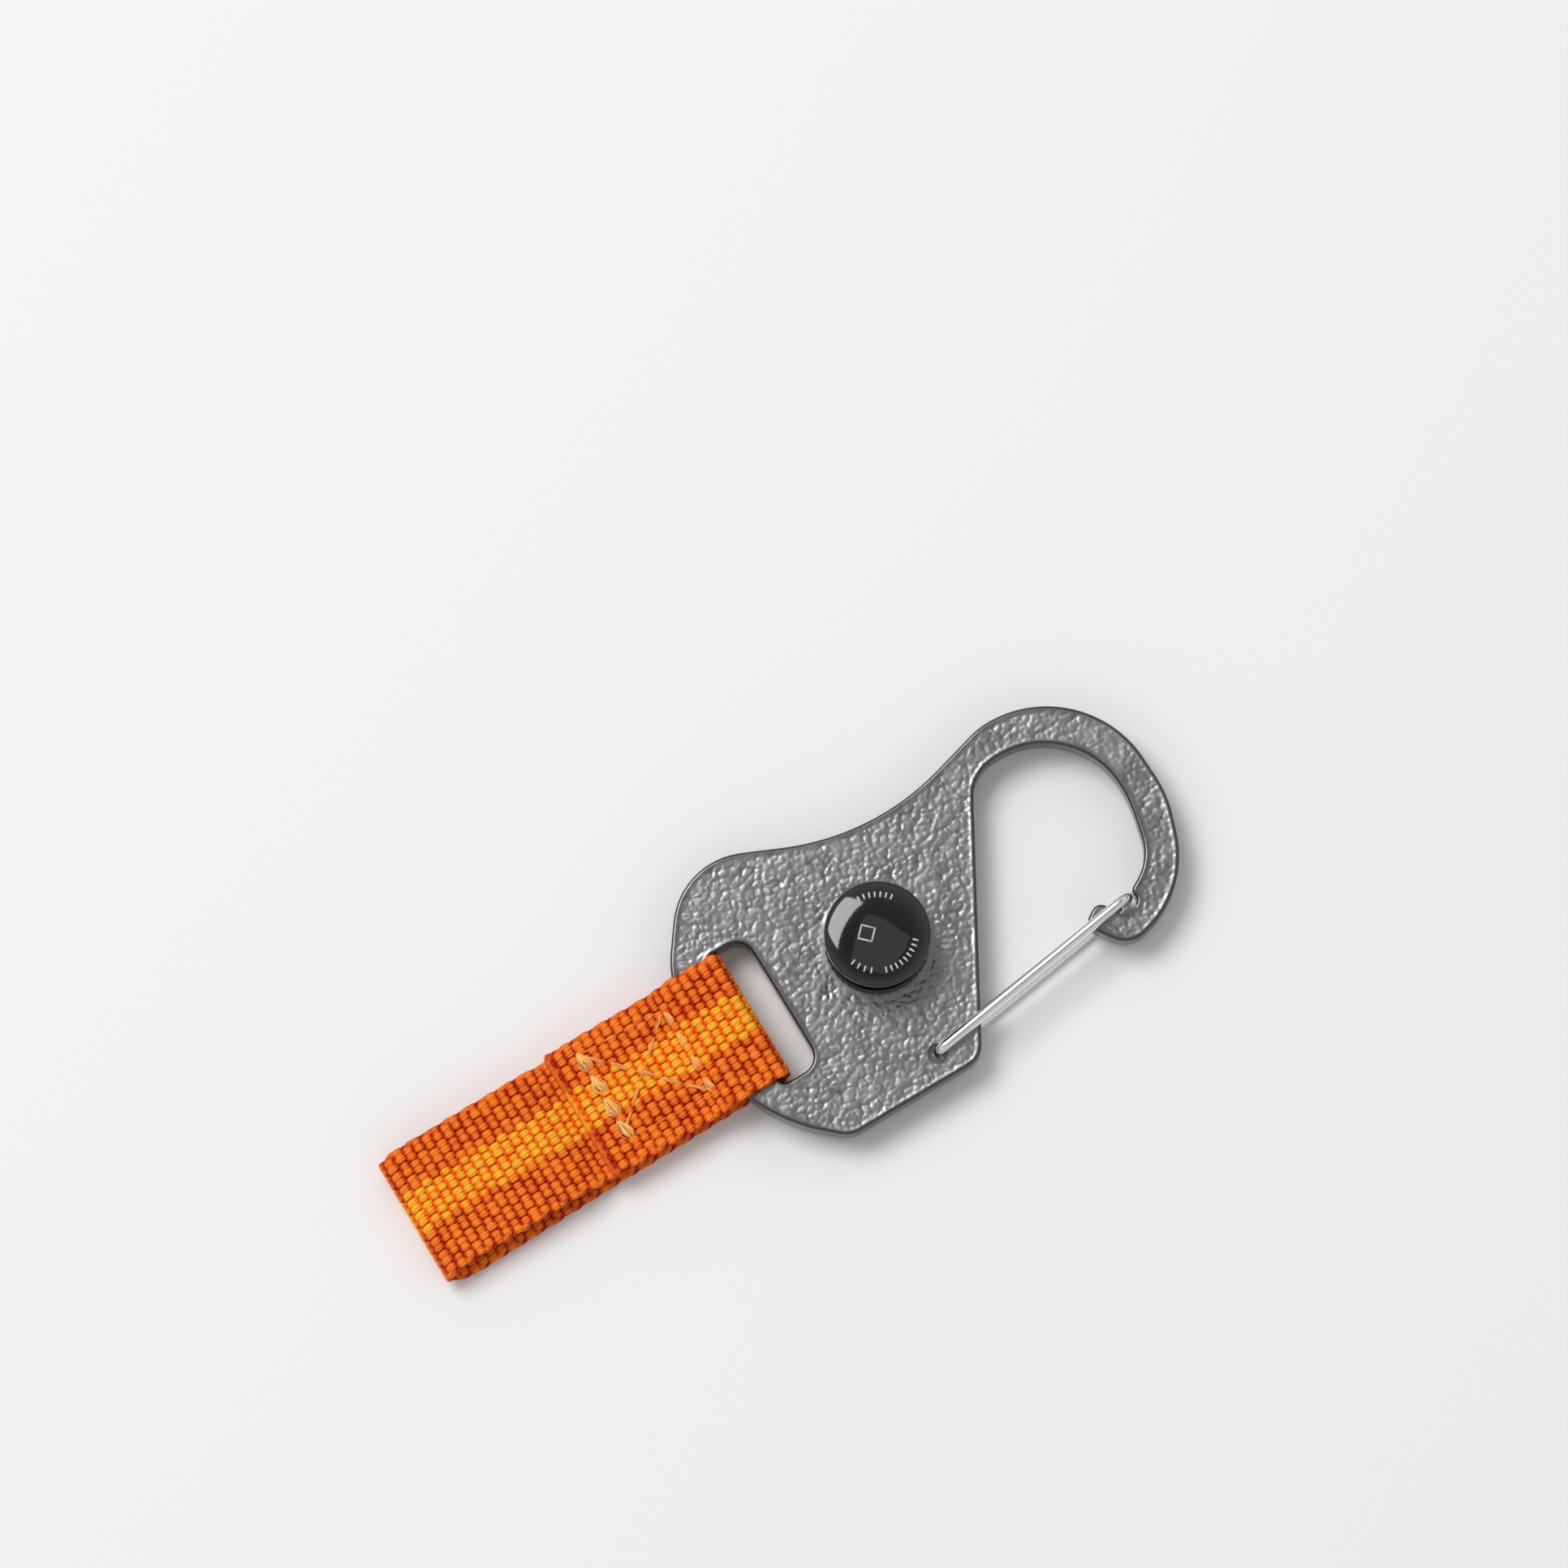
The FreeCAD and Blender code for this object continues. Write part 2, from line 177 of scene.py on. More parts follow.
class StageSettings(bpy.types.PropertyGroup):
    softbox: power("Softbox", "Power of the main softbox", 15.6)
    overhead: power("Overhead", "Power of the overhead panel", 0.4)
    fill: FloatProperty(
        name="Fill", description="Strength of the surrounding light", default=0.9, min=0.0
    )
    floor: colour("Floor", "Pale floor", (0.9, 0.9, 0.9))


# ---- Shared geometry -------------------------------------------------------------------------
def mm(value):
    """Metres to millimetres."""
    return value / MM


def box_mm(node):
    """Lowest and highest corner of a frame node, in millimetres from the stud's axis."""
    low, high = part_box(node)
    return (np.array(low) - AXIS) / MM, (np.array(high) - AXIS) / MM


def make_object(name, points, faces, material, uv=None, values=None):
    """A smooth mesh object from points in millimetres from the stud's axis."""
    mesh = bpy.data.meshes.new(name)
    mesh.from_pydata((np.asarray(points) * MM + AXIS).tolist(), [], faces)
    mesh.polygons.foreach_set("use_smooth", [True] * len(mesh.polygons))
    if uv is not None:
        mesh.uv_layers.new(name="Along").data.foreach_set("uv", np.asarray(uv, np.float32).ravel())
    for key, data in (values or {}).items():
        layer = mesh.attributes.new(key, "FLOAT", "POINT")
        layer.data.foreach_set("value", np.asarray(data, np.float32).ravel())
    mesh.materials.append(material)
    mesh.update()
    piece = bpy.data.objects.new(name, mesh)
    bpy.context.scene.collection.objects.link(piece)
    return piece


def unit(vectors):
    return vectors / np.linalg.norm(vectors, axis=-1, keepdims=True)


def ring_angles(number):
    """Evenly spaced angles, once round."""
    return np.arange(number) / number * 2 * math.pi


def run_along(line):
    """Distance along the line at each of its points."""
    return np.concatenate([[0.0], np.cumsum(np.linalg.norm(np.diff(line, axis=0), axis=1))])


def sampled(line, run, at):
    """Points of the line at the given distances along it."""
    return np.stack([np.interp(at, run, column) for column in line.T], -1)


def softened(line, times):
    """The line with each inner value moved towards its neighbours, over and over."""
    for _ in range(times):
        line[1:-1] = line[1:-1] / 2 + (line[:-2] + line[2:]) / 4
    return line


def skin(rings):
    """Faces of closed tubes, from their points' numbers by tube, ring and place in the ring."""
    after = np.roll(rings, -1, axis=2)
    quads = np.stack([rings[:, :-1], after[:, :-1], after[:, 1:], rings[:, 1:]], -1).reshape(-1, 4)
    return quads.tolist() + rings[:, 0, ::-1].tolist() + rings[:, -1].tolist()


def tube_bundle(centres, across, normal, half_width, half_height, sides, fullness=1.0):
    """Points, faces and UVs of several closed tubes. The first three arrays are (tube, step, xyz).

    A fullness under 1 squares the section's corners off.
    """
    tubes, steps = centres.shape[:2]
    angle = ring_angles(sides)
    wide = np.sign(np.cos(angle)) * np.abs(np.cos(angle)) ** fullness
    tall = np.sign(np.sin(angle)) * np.abs(np.sin(angle)) ** fullness
    ring_across = across[:, :, None, :] * (half_width[:, :, None] * wide)[..., None]
    ring_normal = normal[:, :, None, :] * (half_height[:, :, None] * tall)[..., None]
    points = centres[:, :, None, :] + ring_across + ring_normal
    faces = skin(np.arange(tubes * steps * sides).reshape(tubes, steps, sides))
    gaps = np.linalg.norm(np.diff(centres, axis=1), axis=2)
    along = np.concatenate([np.zeros((tubes, 1)), np.cumsum(gaps, axis=1)], axis=1)
    uv = np.stack(np.broadcast_arrays(along[:, :, None], np.arange(sides + 1) / sides), -1)
    uv = np.stack([uv[:, :-1, :-1], uv[:, :-1, 1:], uv[:, 1:, 1:], uv[:, 1:, :-1]], -2).reshape(-1, 2)
    uv = np.concatenate([uv, np.zeros((2 * tubes * sides, 2))])
    return points.reshape(-1, 3), faces, uv


LATTICE = 128      # noise repeats after this many units


def lattice(seed):
    return np.random.default_rng(seed).random((LATTICE, LATTICE, 2))


def soft_noise(x, y, seed):
    """Smooth noise from -1 to 1 with one random value to a unit square."""
    table = lattice(seed)[:, :, 0] * 2 - 1
    i, j = np.floor(x).astype(int), np.floor(y).astype(int)
    u, v = x - i, y - j
    u, v = u * u * (3 - 2 * u), v * v * (3 - 2 * v)
    i0, i1, j0, j1 = i % LATTICE, (i + 1) % LATTICE, j % LATTICE, (j + 1) % LATTICE
    low = table[i0, j0] * (1 - u) + table[i1, j0] * u
    high = table[i0, j1] * (1 - u) + table[i1, j1] * u
    return low * (1 - v) + high * v


def cell_distances(x, y, seed):
    """Distances to the nearest and the second nearest of scattered points, one to a unit square."""
    table = lattice(seed)
    i, j = np.floor(x).astype(int), np.floor(y).astype(int)
    first = np.full(x.shape, np.inf)
    second = np.full(x.shape, np.inf)
    for di in (-1, 0, 1):
        for dj in (-1, 0, 1):
            spot = table[(i + di) % LATTICE, (j + dj) % LATTICE]
            distance = np.hypot(i + di + spot[..., 0] - x, j + dj + spot[..., 1] - y)
            second = np.minimum(second, np.maximum(first, distance))
            first = np.minimum(first, distance)
    return first, second


def ease(value):
    """Smooth step from 0 to 1."""
    value = np.clip(value, 0.0, 1.0)
    return value * value * (3 - 2 * value)


# ---- Shared materials ------------------------------------------------------------------------
class Nodes:
    """Short way to write a node material."""

    def __init__(self, name):
        self.material = bpy.data.materials.new(name)
        self.material.use_nodes = True
        self.tree = self.material.node_tree
        self.shader = self.tree.nodes["Principled BSDF"]

    def add(self, kind, **settings):
        node = self.tree.nodes.new("ShaderNode" + kind)
        for key, value in settings.items():
            setattr(node, key, value)
        return node

    def link(self, source, target):
        self.tree.links.new(source, target)

    def feed(self, socket, value):
        """Link another node's socket, or write a plain value."""
        if isinstance(value, bpy.types.NodeSocket):
            self.link(value, socket)
        elif socket.type == "RGBA":
            socket.default_value = (*value, 1.0)
        else:
            socket.default_value = value

    def set(self, **sockets):
        for key, value in sockets.items():
            self.feed(self.shader.inputs[key.replace("_", " ")], value)

    def math(self, operation, a, b=0.0):
        node = self.add("Math", operation=operation)
        for socket, value in zip(node.inputs, (a, b)):
            self.feed(socket, value)
        return node.outputs[0]

    def add_share(self, total, value, share):
        """The total with a share of the value added."""
        return self.math("ADD", total, self.math("MULTIPLY", value, share))

    def attribute(self, name):
        return self.add("Attribute", attribute_name=name).outputs["Fac"]

    def mix(self, factor, a, b):
        node = self.add("Mix", data_type="RGBA")
        for socket, value in zip((node.inputs[0], node.inputs[6], node.inputs[7]), (factor, a, b)):
            self.feed(socket, value)
        return node.outputs[2]

    def noise(self, scale, detail, stretch=(1.0, 1.0, 1.0)):
        place = self.add("TexCoord").outputs["Object"]
        mapping = self.add("Mapping")
        mapping.inputs["Scale"].default_value = stretch
        self.link(place, mapping.inputs["Vector"])
        node = self.add("TexNoise")
        node.inputs["Scale"].default_value = scale
        node.inputs["Detail"].default_value = detail
        self.link(mapping.outputs[0], node.inputs["Vector"])
        return node.outputs["Fac"]

    def range(self, value, low, high, to_low, to_high):
        node = self.add("MapRange")
        self.link(value, node.inputs["Value"])
        ends = {"From Min": low, "From Max": high, "To Min": to_low, "To Max": to_high}
        for key, number in ends.items():
            node.inputs[key].default_value = number
        return node.outputs[0]

    def bump(self, height, distance, strength):
        node = self.add("Bump")
        node.inputs["Strength"].default_value = strength
        node.inputs["Distance"].default_value = distance
        self.link(height, node.inputs["Height"])
        self.link(node.outputs[0], self.shader.inputs["Normal"])


def shade(colour, factor):
    return tuple(min(1.0, c * factor) for c in colour)


# ---- Plate -----------------------------------------------------------------------------------
OUTLINE_STEP = 0.2              # millimetres between points of the outline
RIM_STEPS = 5
WALL_STEPS = 5
LEVEL_SLACK = 2e-7              # metres that a point of the outline may lie off its level
GRAIN_TURN = math.radians(-28)  # direction of the long dents
DENT_STRETCH = 1.25             # how much longer than wide a dent is
HIGH_BUMP = 0.95                # about the height of the highest bumps, which lie at the face's level
EDGE_FADE = 0.45                # millimetres over which the dents fade out towards the rim
SEAT_FADE = 1.0                 # the same towards the stud's seat
TOP_SEED, UNDER_SEED = 11, 23
CUT_OVER = 1                    # millimetres that a cutter reaches past the plate's faces
MOUTH_SHIFT = (-0.25, -0.1)     # pivot hole's mouth, from the hole
RECESS_SHIFT = (-0.7, -0.65)    # notch recess, from the gate's crossing piece
FLOOR_WAVE = 0.12               # unevenness of the recess floor


def plate_outlines(rim):
    """Closed loops of the plate's walls with the metal on their left, the outer one first."""
    bm = bmesh.new()
    bm.from_mesh(frame["nodes"]["carabiner_plate"].data)
    bmesh.ops.remove_doubles(bm, verts=bm.verts, dist=1e-7)
    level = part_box("carabiner_plate")[0].z + rim * MM
    # A dictionary keeps the mesh's own order, so that each run starts at the same edges.
    edges = dict.fromkeys(e for e in bm.edges if all(abs(v.co.z - level) < LEVEL_SLACK for v in e.verts))
    loops = []
    while edges:
        edge, _ = edges.popitem()
        first, here = edge.verts
        loop = [first, here]
        while here is not first:
            edge = next(e for e in here.link_edges if e in edges)
            edges.pop(edge)
            here = edge.other_vert(here)
            if here is not first:
                loop.append(here)
            if not any(e in edges for e in here.link_edges):
                break
        loops.append((np.array([v.co for v in loop])[:, :2] - AXIS[:2]) / MM)
    bm.free()
    loops.sort(key=lambda loop: -np.ptp(loop[:, 0]))
    if len(loops) != 2:
        raise RuntimeError(f"the plate has {len(loops)} outlines and needs 2")
    return [resampled(loop, ccw) for loop, ccw in zip(loops, (True, False))]


def resampled(loop, ccw):
    """The loop at even steps, slightly softened, in the wanted direction."""
    x, y = loop[:, 0], loop[:, 1]
    area = np.sum(x * np.roll(y, -1) - np.roll(x, -1) * y)
    if (area > 0) != ccw:
        loop = loop[::-1]
    closed = np.vstack([loop, loop[:1]])
    run = run_along(closed)
    steps = int(round(run[-1] / OUTLINE_STEP))
    even = sampled(closed, run, np.arange(steps) / steps * run[-1])
    for _ in range(3):
        even = even / 2 + (np.roll(even, 1, axis=0) + np.roll(even, -1, axis=0)) / 4
    return even


def left_normals(loop):
    ahead = unit(np.roll(loop, -1, axis=0) - np.roll(loop, 1, axis=0))
    return np.stack([-ahead[:, 1], ahead[:, 0]], 1)


def inside(points, loop):
    """Even-odd test of points against a closed loop."""
    result = np.zeros(len(points), bool)
    x, y = points[:, 0], points[:, 1]
    for (ax, ay), (bx, by) in zip(loop, np.roll(loop, -1, axis=0)):
        crosses = (ay > y) != (by > y)
        if crosses.any():
            result[crosses] ^= x[crosses] < (bx - ax) * (y[crosses] - ay) / (by - ay) + ax
    return result


def hammered(x, y, seed, cell, depth):
    """Height of the hammered face, at most about 0: soft bumps with short creases between them."""
    cos, sin = math.cos(GRAIN_TURN), math.sin(GRAIN_TURN)
    u = (x * cos + y * sin) / (cell * DENT_STRETCH)
    v = (-x * sin + y * cos) / cell
    u = u + 0.35 * soft_noise(u * 0.8, v * 0.8, seed + 1)
    v = v + 0.35 * soft_noise(u * 0.8 + 9.1, v * 0.8, seed + 2)
    first, second = cell_distances(u, v, seed)
    bumps = 1 - np.clip(first, 0, 1) ** 2
    patchy = 0.4 + 0.6 * soft_noise(u * 0.9, v * 0.9, seed + 3)
    creases = np.exp(-(((second - first) / 0.16) ** 2)) * patchy
    fine = soft_noise(x / (cell * 0.5), y / (cell * 0.5), seed + 4)
    broad = soft_noise(x / (cell * 2.3), y / (cell * 2.3), seed + 5)
    height = 0.55 * bumps - 0.42 * np.clip(creases, 0, 1) + 0.2 * fine + 0.22 * broad
    return depth * (height - HIGH_BUMP)


def face_points(rings, spacing):
    """Even triangular grid between the rings, and each point's distance from them."""
    low, high = rings[0].min(0), rings[0].max(0)
    row = spacing * math.sqrt(3) / 2
    grid = [
        np.stack([np.arange(low[0] + (i % 2) * spacing / 2, high[0], spacing)] * 2, 1) * (1, 0) + (0, y)
        for i, y in enumerate(np.arange(low[1], high[1], row))
    ]
    grid = np.vstack(grid)
    grid = grid[inside(grid, rings[0])]
    grid = grid[~inside(grid, rings[1])]
    edge = np.vstack(rings)
    tree = kdtree.KDTree(len(edge))
    for i, (x, y) in enumerate(edge.tolist()):
        tree.insert((x, y, 0), i)
    tree.balance()
    distance = np.array([tree.find((x, y, 0))[2] for x, y in grid.tolist()])
    keep = distance > spacing * 0.6
    return grid[keep], distance[keep]


def face_triangles(rings, grid):
    """Triangles between the rings, through every grid point. The rings' points come first."""
    points = np.vstack([*rings, grid])
    edges = []
    first = 0
    for ring in rings:
        edges += [(first + i, first + (i + 1) % len(ring)) for i in range(len(ring))]
        first += len(ring)
    made, _, faces, *_ = delaunay_2d_cdt([Vector(p) for p in points.tolist()], edges, [], 1, 1e-7)
    if len(made) != len(points):
        raise RuntimeError("the plate's face has points that fall together")
    faces = np.array(faces)
    middle = points[faces].mean(1)
    return faces[~inside(middle, rings[1])]


def cutter(name, outline, low, high, floor_wave=0.0):
    """Closed prism over a counter-clockwise outline, with rings of points in its lower face."""
    outline = np.asarray(outline)
    middle = outline.mean(0)
    levels = [np.column_stack([outline, np.full(len(outline), z)]) for z in (high, low)]
    for part in (0.75, 0.5, 0.25):
        ring = middle + (outline - middle) * part
        z = low + floor_wave * soft_noise(ring[:, 0] * 3.1, ring[:, 1] * 3.1, 71)
        levels.append(np.column_stack([ring, z]))
    n = len(outline)
    points = np.vstack([*levels, [(*middle, low)]])
    faces = [list(range(n))]
    for k in range(len(levels) - 1):
        for i in range(n):
            j = (i + 1) % n
            faces.append([k * n + j, k * n + i, (k + 1) * n + i, (k + 1) * n + j])
    last = (len(levels) - 1) * n
    faces += [[last + (i + 1) % n, last + i, len(points) - 1] for i in range(n)]
    # The cut walls and floors take the full painted shade of the rim attribute.
    return make_object(name, points, faces, None, None, {"rim": np.ones(len(points))})


def circle(x, y, radius, steps=48):
    angle = ring_angles(steps)
    return np.stack([x + radius * np.cos(angle), y + radius * np.sin(angle)], 1)


def arc_slot(centre, offset, half_width, start, end):
    """Outline of a slot that follows an arc round a centre."""
    angle = np.linspace(start, end, 16)
    tip = np.linspace(0, math.pi, 9)[1:-1]

    def at(direction, distance, middle=centre):
        x, y = middle[0] + distance * np.cos(direction), middle[1] + distance * np.sin(direction)
        return np.stack([x, y], -1)

    turn_far = at(end + tip, half_width, at(end, offset))
    turn_near = at(start + math.pi + tip, half_width, at(start, offset))
    outer, inner = at(angle, offset + half_width), at(angle[::-1], offset - half_width)
    return np.vstack([outer, turn_far, inner, turn_near])


def gate_pivot():
    """Gate hinge's axis, in millimetres from the stud's axis, and how far it opens."""
    joint = next(j for j in frame["joints"] if j["name"] == "gate_hinge")
    return (np.array(joint["pos_m"]) - AXIS) / MM, math.radians(joint["range_deg"][1])


def plate_metal(settings):
    nodes = Nodes("gunmetal")
    cloudy = nodes.noise(260.0, 3.0)
    fine = nodes.noise(2600.0, 2.0)
    mottled = nodes.mix(cloudy, shade(settings.metal, 0.84), shade(settings.metal, 1.12))
    # The rim attribute carries painted shade: rim, walls, cut walls and dent hollows take the darker
    # colour.
    rim = nodes.attribute("rim")
    rough = nodes.range(cloudy, 0.3, 0.7, settings.roughness - 0.05, settings.roughness + 0.07)
    nodes.set(
        Base_Color=nodes.mix(rim, mottled, tuple(settings.rim_painted_shade)),
        Metallic=1.0,
        Roughness=nodes.math("SUBTRACT", rough, nodes.math("MULTIPLY", rim, 0.12)),
    )
    nodes.bump(fine, 0.00001, 0.35)
    return nodes.material


class KEYRING_OT_plate(bpy.types.Operator):
    """Build the cast plate with its hammered faces, rounded rim, slot, notch and gate holes"""

    bl_idname = "keyring.plate"
    bl_label = "Cast plate"

    def execute(self, context):
        s = context.scene.keyring_plate
        gate = context.scene.keyring_gate
        low, high = box_mm("carabiner_plate")
        rim = mm(s.rim)
        outlines = plate_outlines(rim)
        normals = [left_normals(loop) for loop in outlines]
        inner = [loop + normal * rim for loop, normal in zip(outlines, normals)]
        seam = sum(len(loop) for loop in inner)
        points = []
        faces = []
        painted_shade = []
        sides = ((True, mm(s.top_grid), TOP_SEED), (False, mm(s.under_grid), UNDER_SEED))
        for top, spacing, seed in sides:
            level = high[2] if top else low[2]
            way = 1 if top else -1
            grid, distance = face_points(inner, spacing)
            triangles = face_triangles(inner, grid)
            height = hammered(grid[:, 0], grid[:, 1], seed, mm(s.cell), mm(s.dent))
            height *= ease(distance / EDGE_FADE)
            if top:
                height *= ease((np.hypot(grid[:, 0], grid[:, 1]) - mm(s.seat)) / SEAT_FADE)
            first = sum(len(p) for p in points)
            flat = np.column_stack([np.vstack(inner), np.full(seam, level)])
            points += [flat, np.column_stack([grid, level + way * height])]
            # Painted shade: the dents' hollows and the face close to the rim are darkened.
            hollow = 0.6 * ease((-height / mm(s.dent) - 0.8) / 0.5)
            painted_shade += [np.full(seam, 0.45), np.maximum(hollow, 0.35 * (1 - ease(distance / 0.3)))]
            triangles = triangles if top else triangles[:, ::-1]
            faces += (triangles + first).tolist()
            if top:
                under_first = first + seam + len(grid)
        ring_start = 0
        total = sum(len(p) for p in points)
        for loop, normal in zip(outlines, normals):
            n = len(loop)
            angle = np.linspace(math.pi / 2, 0, RIM_STEPS + 1)[1:]
            curve = [(rim * (1 - math.cos(a)), rim - rim * math.sin(a)) for a in angle]
            # The third value of each profile ring is its painted shade: full on the rounded rim, a
            # little less on the wall.
            profile = [(inset, high[2] - drop, 1.0) for inset, drop in curve]
            walls = np.linspace(high[2] - rim, low[2] + rim, WALL_STEPS + 1)[1:-1]
            profile += [(0.0, z, 0.7) for z in walls]
            profile += [(inset, low[2] + drop, 1.0) for inset, drop in curve[::-1]]
            index = [np.arange(n) + ring_start]
            for inset, z, shade in profile:
                points.append(np.column_stack([loop + normal * inset, np.full(n, z)]))
                painted_shade.append(np.full(n, shade))
                index.append(np.arange(n) + total)
                total += n
            index.append(np.arange(n) + under_first + ring_start)
            for upper, lower in zip(index, index[1:]):
                faces += np.stack([upper, lower, np.roll(lower, -1), np.roll(upper, -1)], 1).tolist()
            ring_start += n
        metal = plate_metal(s)
        values = {"rim": np.concatenate(painted_shade)}
        body = make_object("plate_body", np.vstack(points), faces, metal, None, values)
        pivot, opening = gate_pivot()
        direction = np.array([math.cos(gate.angle), math.sin(gate.angle)])
        crossing = pivot[:2] + direction * mm(gate.reach)
        wells = (
            ("recess", crossing + RECESS_SHIFT, s.recess, s.recess_depth, FLOOR_WAVE),
            ("mouth", pivot[:2] + MOUTH_SHIFT, s.mouth, s.mouth_depth, 0.0),
            ("hole", pivot[:2], s.hole, s.hole_depth, 0.0),
        )
        cutters = [
            cutter(name, circle(*centre, mm(radius)), high[2] - mm(depth), high[2] + CUT_OVER, wave)
            for name, centre, radius, depth, wave in wells
        ]
        slot = arc_slot(pivot, mm(gate.stub_offset), mm(s.stub_slot), gate.angle, gate.angle + opening)
        cutters.append(cutter("stub_slot", slot, low[2] - CUT_OVER, low[2] + mm(s.stub_slot_depth)))
        for tool in cutters:
            cut = body.modifiers.new(tool.name, "BOOLEAN")
            cut.operation = "DIFFERENCE"
            cut.solver = "EXACT"
            cut.object = tool
        evaluated = body.evaluated_get(context.evaluated_depsgraph_get())
        plate = bpy.data.objects.new("hammered_plate", bpy.data.meshes.new_from_object(evaluated))
        context.scene.collection.objects.link(plate)
        for leftover in (body, *cutters):
            bpy.data.objects.remove(leftover)
        bm = bmesh.new()
        bm.from_mesh(plate.data)
        bmesh.ops.dissolve_degenerate(bm, edges=bm.edges, dist=1e-7)
        bm.to_mesh(plate.data)
        bm.free()
        plate.data.polygons.foreach_set("use_smooth", [True] * len(plate.data.polygons))
        plate.data.set_sharp_from_angle(angle=math.radians(50))
        plate.data.materials.clear()
        plate.data.materials.append(metal)
        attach(plate, "plate")
        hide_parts("carabiner_plate")
        return {"FINISHED"}


# ---- Gate ------------------------------------------------------------------------------------
def steel(settings):
    nodes = Nodes("polished_steel")
    drawn = nodes.noise(900.0, 4.0, (1.0, 9.0, 9.0))
    nodes.set(
        Base_Color=nodes.mix(drawn, shade(settings.steel, 0.9), shade(settings.steel, 1.08)),
        Metallic=1.0,
        Roughness=nodes.range(drawn, 0.3, 0.7, settings.roughness - 0.04, settings.roughness + 0.08),
    )
    nodes.bump(drawn, 0.0000015, 0.3)
    return nodes.material


WIRE_SIDES = 40
WIRE_STEP = 0.6        # millimetres between rings on the straight runs
WIRE_CHAMFER = 0.16


class KEYRING_OT_gate(bpy.types.Operator):
    """Build the bent spring wire of the gate, from its pivot stub to its lower stub"""

    bl_idname = "keyring.gate"
    bl_label = "Wire gate"

    def execute(self, context):
        s = context.scene.keyring_gate
        plate_low, plate_high = box_mm("carabiner_plate")
        wire_low, wire_high = box_mm("gate_wire")
        radius = mm(s.wire) / 2
        pivot, _ = gate_pivot()
        along = np.array([math.cos(s.angle), math.sin(s.angle), 0.0])
        base = np.array([pivot[0], pivot[1], 0.0])
        up = np.array([0.0, 0.0, 1.0])
        upper, lower = wire_high[2] - radius, wire_low[2] + radius
        corners = [
            base + up * (plate_high[2] - mm(s.stub)),
            base + up * upper,
            base + along * mm(s.reach) + up * upper,
            base + along * mm(s.reach) + up * lower,
            base + along * mm(s.stub_offset) + up * lower,
            base + along * mm(s.stub_offset) + up * (plate_low[2] + mm(s.lower_stub)),
        ]
        bend = mm(s.bend)
        line = [corners[0]]
        for before, corner, after in zip(corners, corners[1:], corners[2:]):
            back, ahead = unit(before - corner), unit(after - corner)
            centre = corner + (back + ahead) * bend
            for turn in np.linspace(0, math.pi / 2, 13):
                line.append(centre - ahead * bend * math.cos(turn) - back * bend * math.sin(turn))
        line.append(corners[-1])
        line = np.array(line)
        run = run_along(line)
        at = np.unique(np.concatenate([run, np.arange(0, run[-1], WIRE_STEP)]))
        centre = sampled(line, run, at)
        ends = np.minimum(at, run[-1] - at)
        size = radius - WIRE_CHAMFER * np.clip(1 - ends / WIRE_CHAMFER, 0, 1)
        near = np.abs(at - WIRE_CHAMFER).argmin()
        centre = np.insert(centre, near, sampled(line, run, WIRE_CHAMFER), axis=0)
        size = np.insert(size, near, radius)
        side = np.broadcast_to(np.cross(up, along), centre.shape)
        normal = unit(np.cross(unit(np.gradient(centre, axis=0)), side))
        points, faces, uv = tube_bundle(
            centre[None], side[None], normal[None], size[None], size[None], WIRE_SIDES
        )
        gate = make_object("wire_gate", points, faces, steel(s), uv)
        gate.data.set_sharp_from_angle(angle=math.radians(40))
        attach(gate, "gate")
        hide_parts("gate_wire")
        return {"FINISHED"}


# ---- Stud ------------------------------------------------------------------------------------
STUD_SIDES = 160
FLUTES = 40
FLUTE_HALF = 0.05                                       # half the depth of a flute
SPIGOT = 0.3                                            # how far the moulding reaches into the plate
TICK_GROUPS = ((38, 88, 7), (200, 230, 4), (252, 318, 9))   # first and last angle, number of ticks
TICK_IN, TICK_OUT, TICK_HALF = 3.95, 4.6, 0.1           # ends and half width of a tick
DIAMOND = (-1.1, 0.5)
DIAMOND_OUT, DIAMOND_IN = 1.2, 0.95


def plastic(settings):
    nodes = Nodes("gloss_black")
    scuff = nodes.noise(1800.0, 5.0, (1.0, 3.0, 1.0))
    haze = nodes.noise(160.0, 2.0)
    nodes.set(
        Base_Color=nodes.mix(haze, tuple(settings.plastic), shade(settings.plastic, 1.5)),
        Roughness=nodes.range(scuff, 0.55, 0.8, 0.06, 0.14),
        Specular_IOR_Level=0.75,
    )
    nodes.bump(scuff, 0.000003, 0.2)
    return nodes.material


def printed(settings):
    nodes = Nodes("print_white")
    worn = nodes.noise(5200.0, 3.0)
    wear = nodes.range(worn, 0.35, 0.7, 0.0, 1.0)
    nodes.set(Base_Color=nodes.mix(wear, tuple(settings.ink), shade(settings.ink, 0.72)), Roughness=0.5)
    nodes.bump(worn, 0.000005, 0.4)
    return nodes.material


def quarter(centre, radius, start, end, steps=6):
    angle = np.radians(np.linspace(start, end, steps))
    return [(centre[0] + radius * math.cos(a), centre[1] + radius * math.sin(a)) for a in angle]


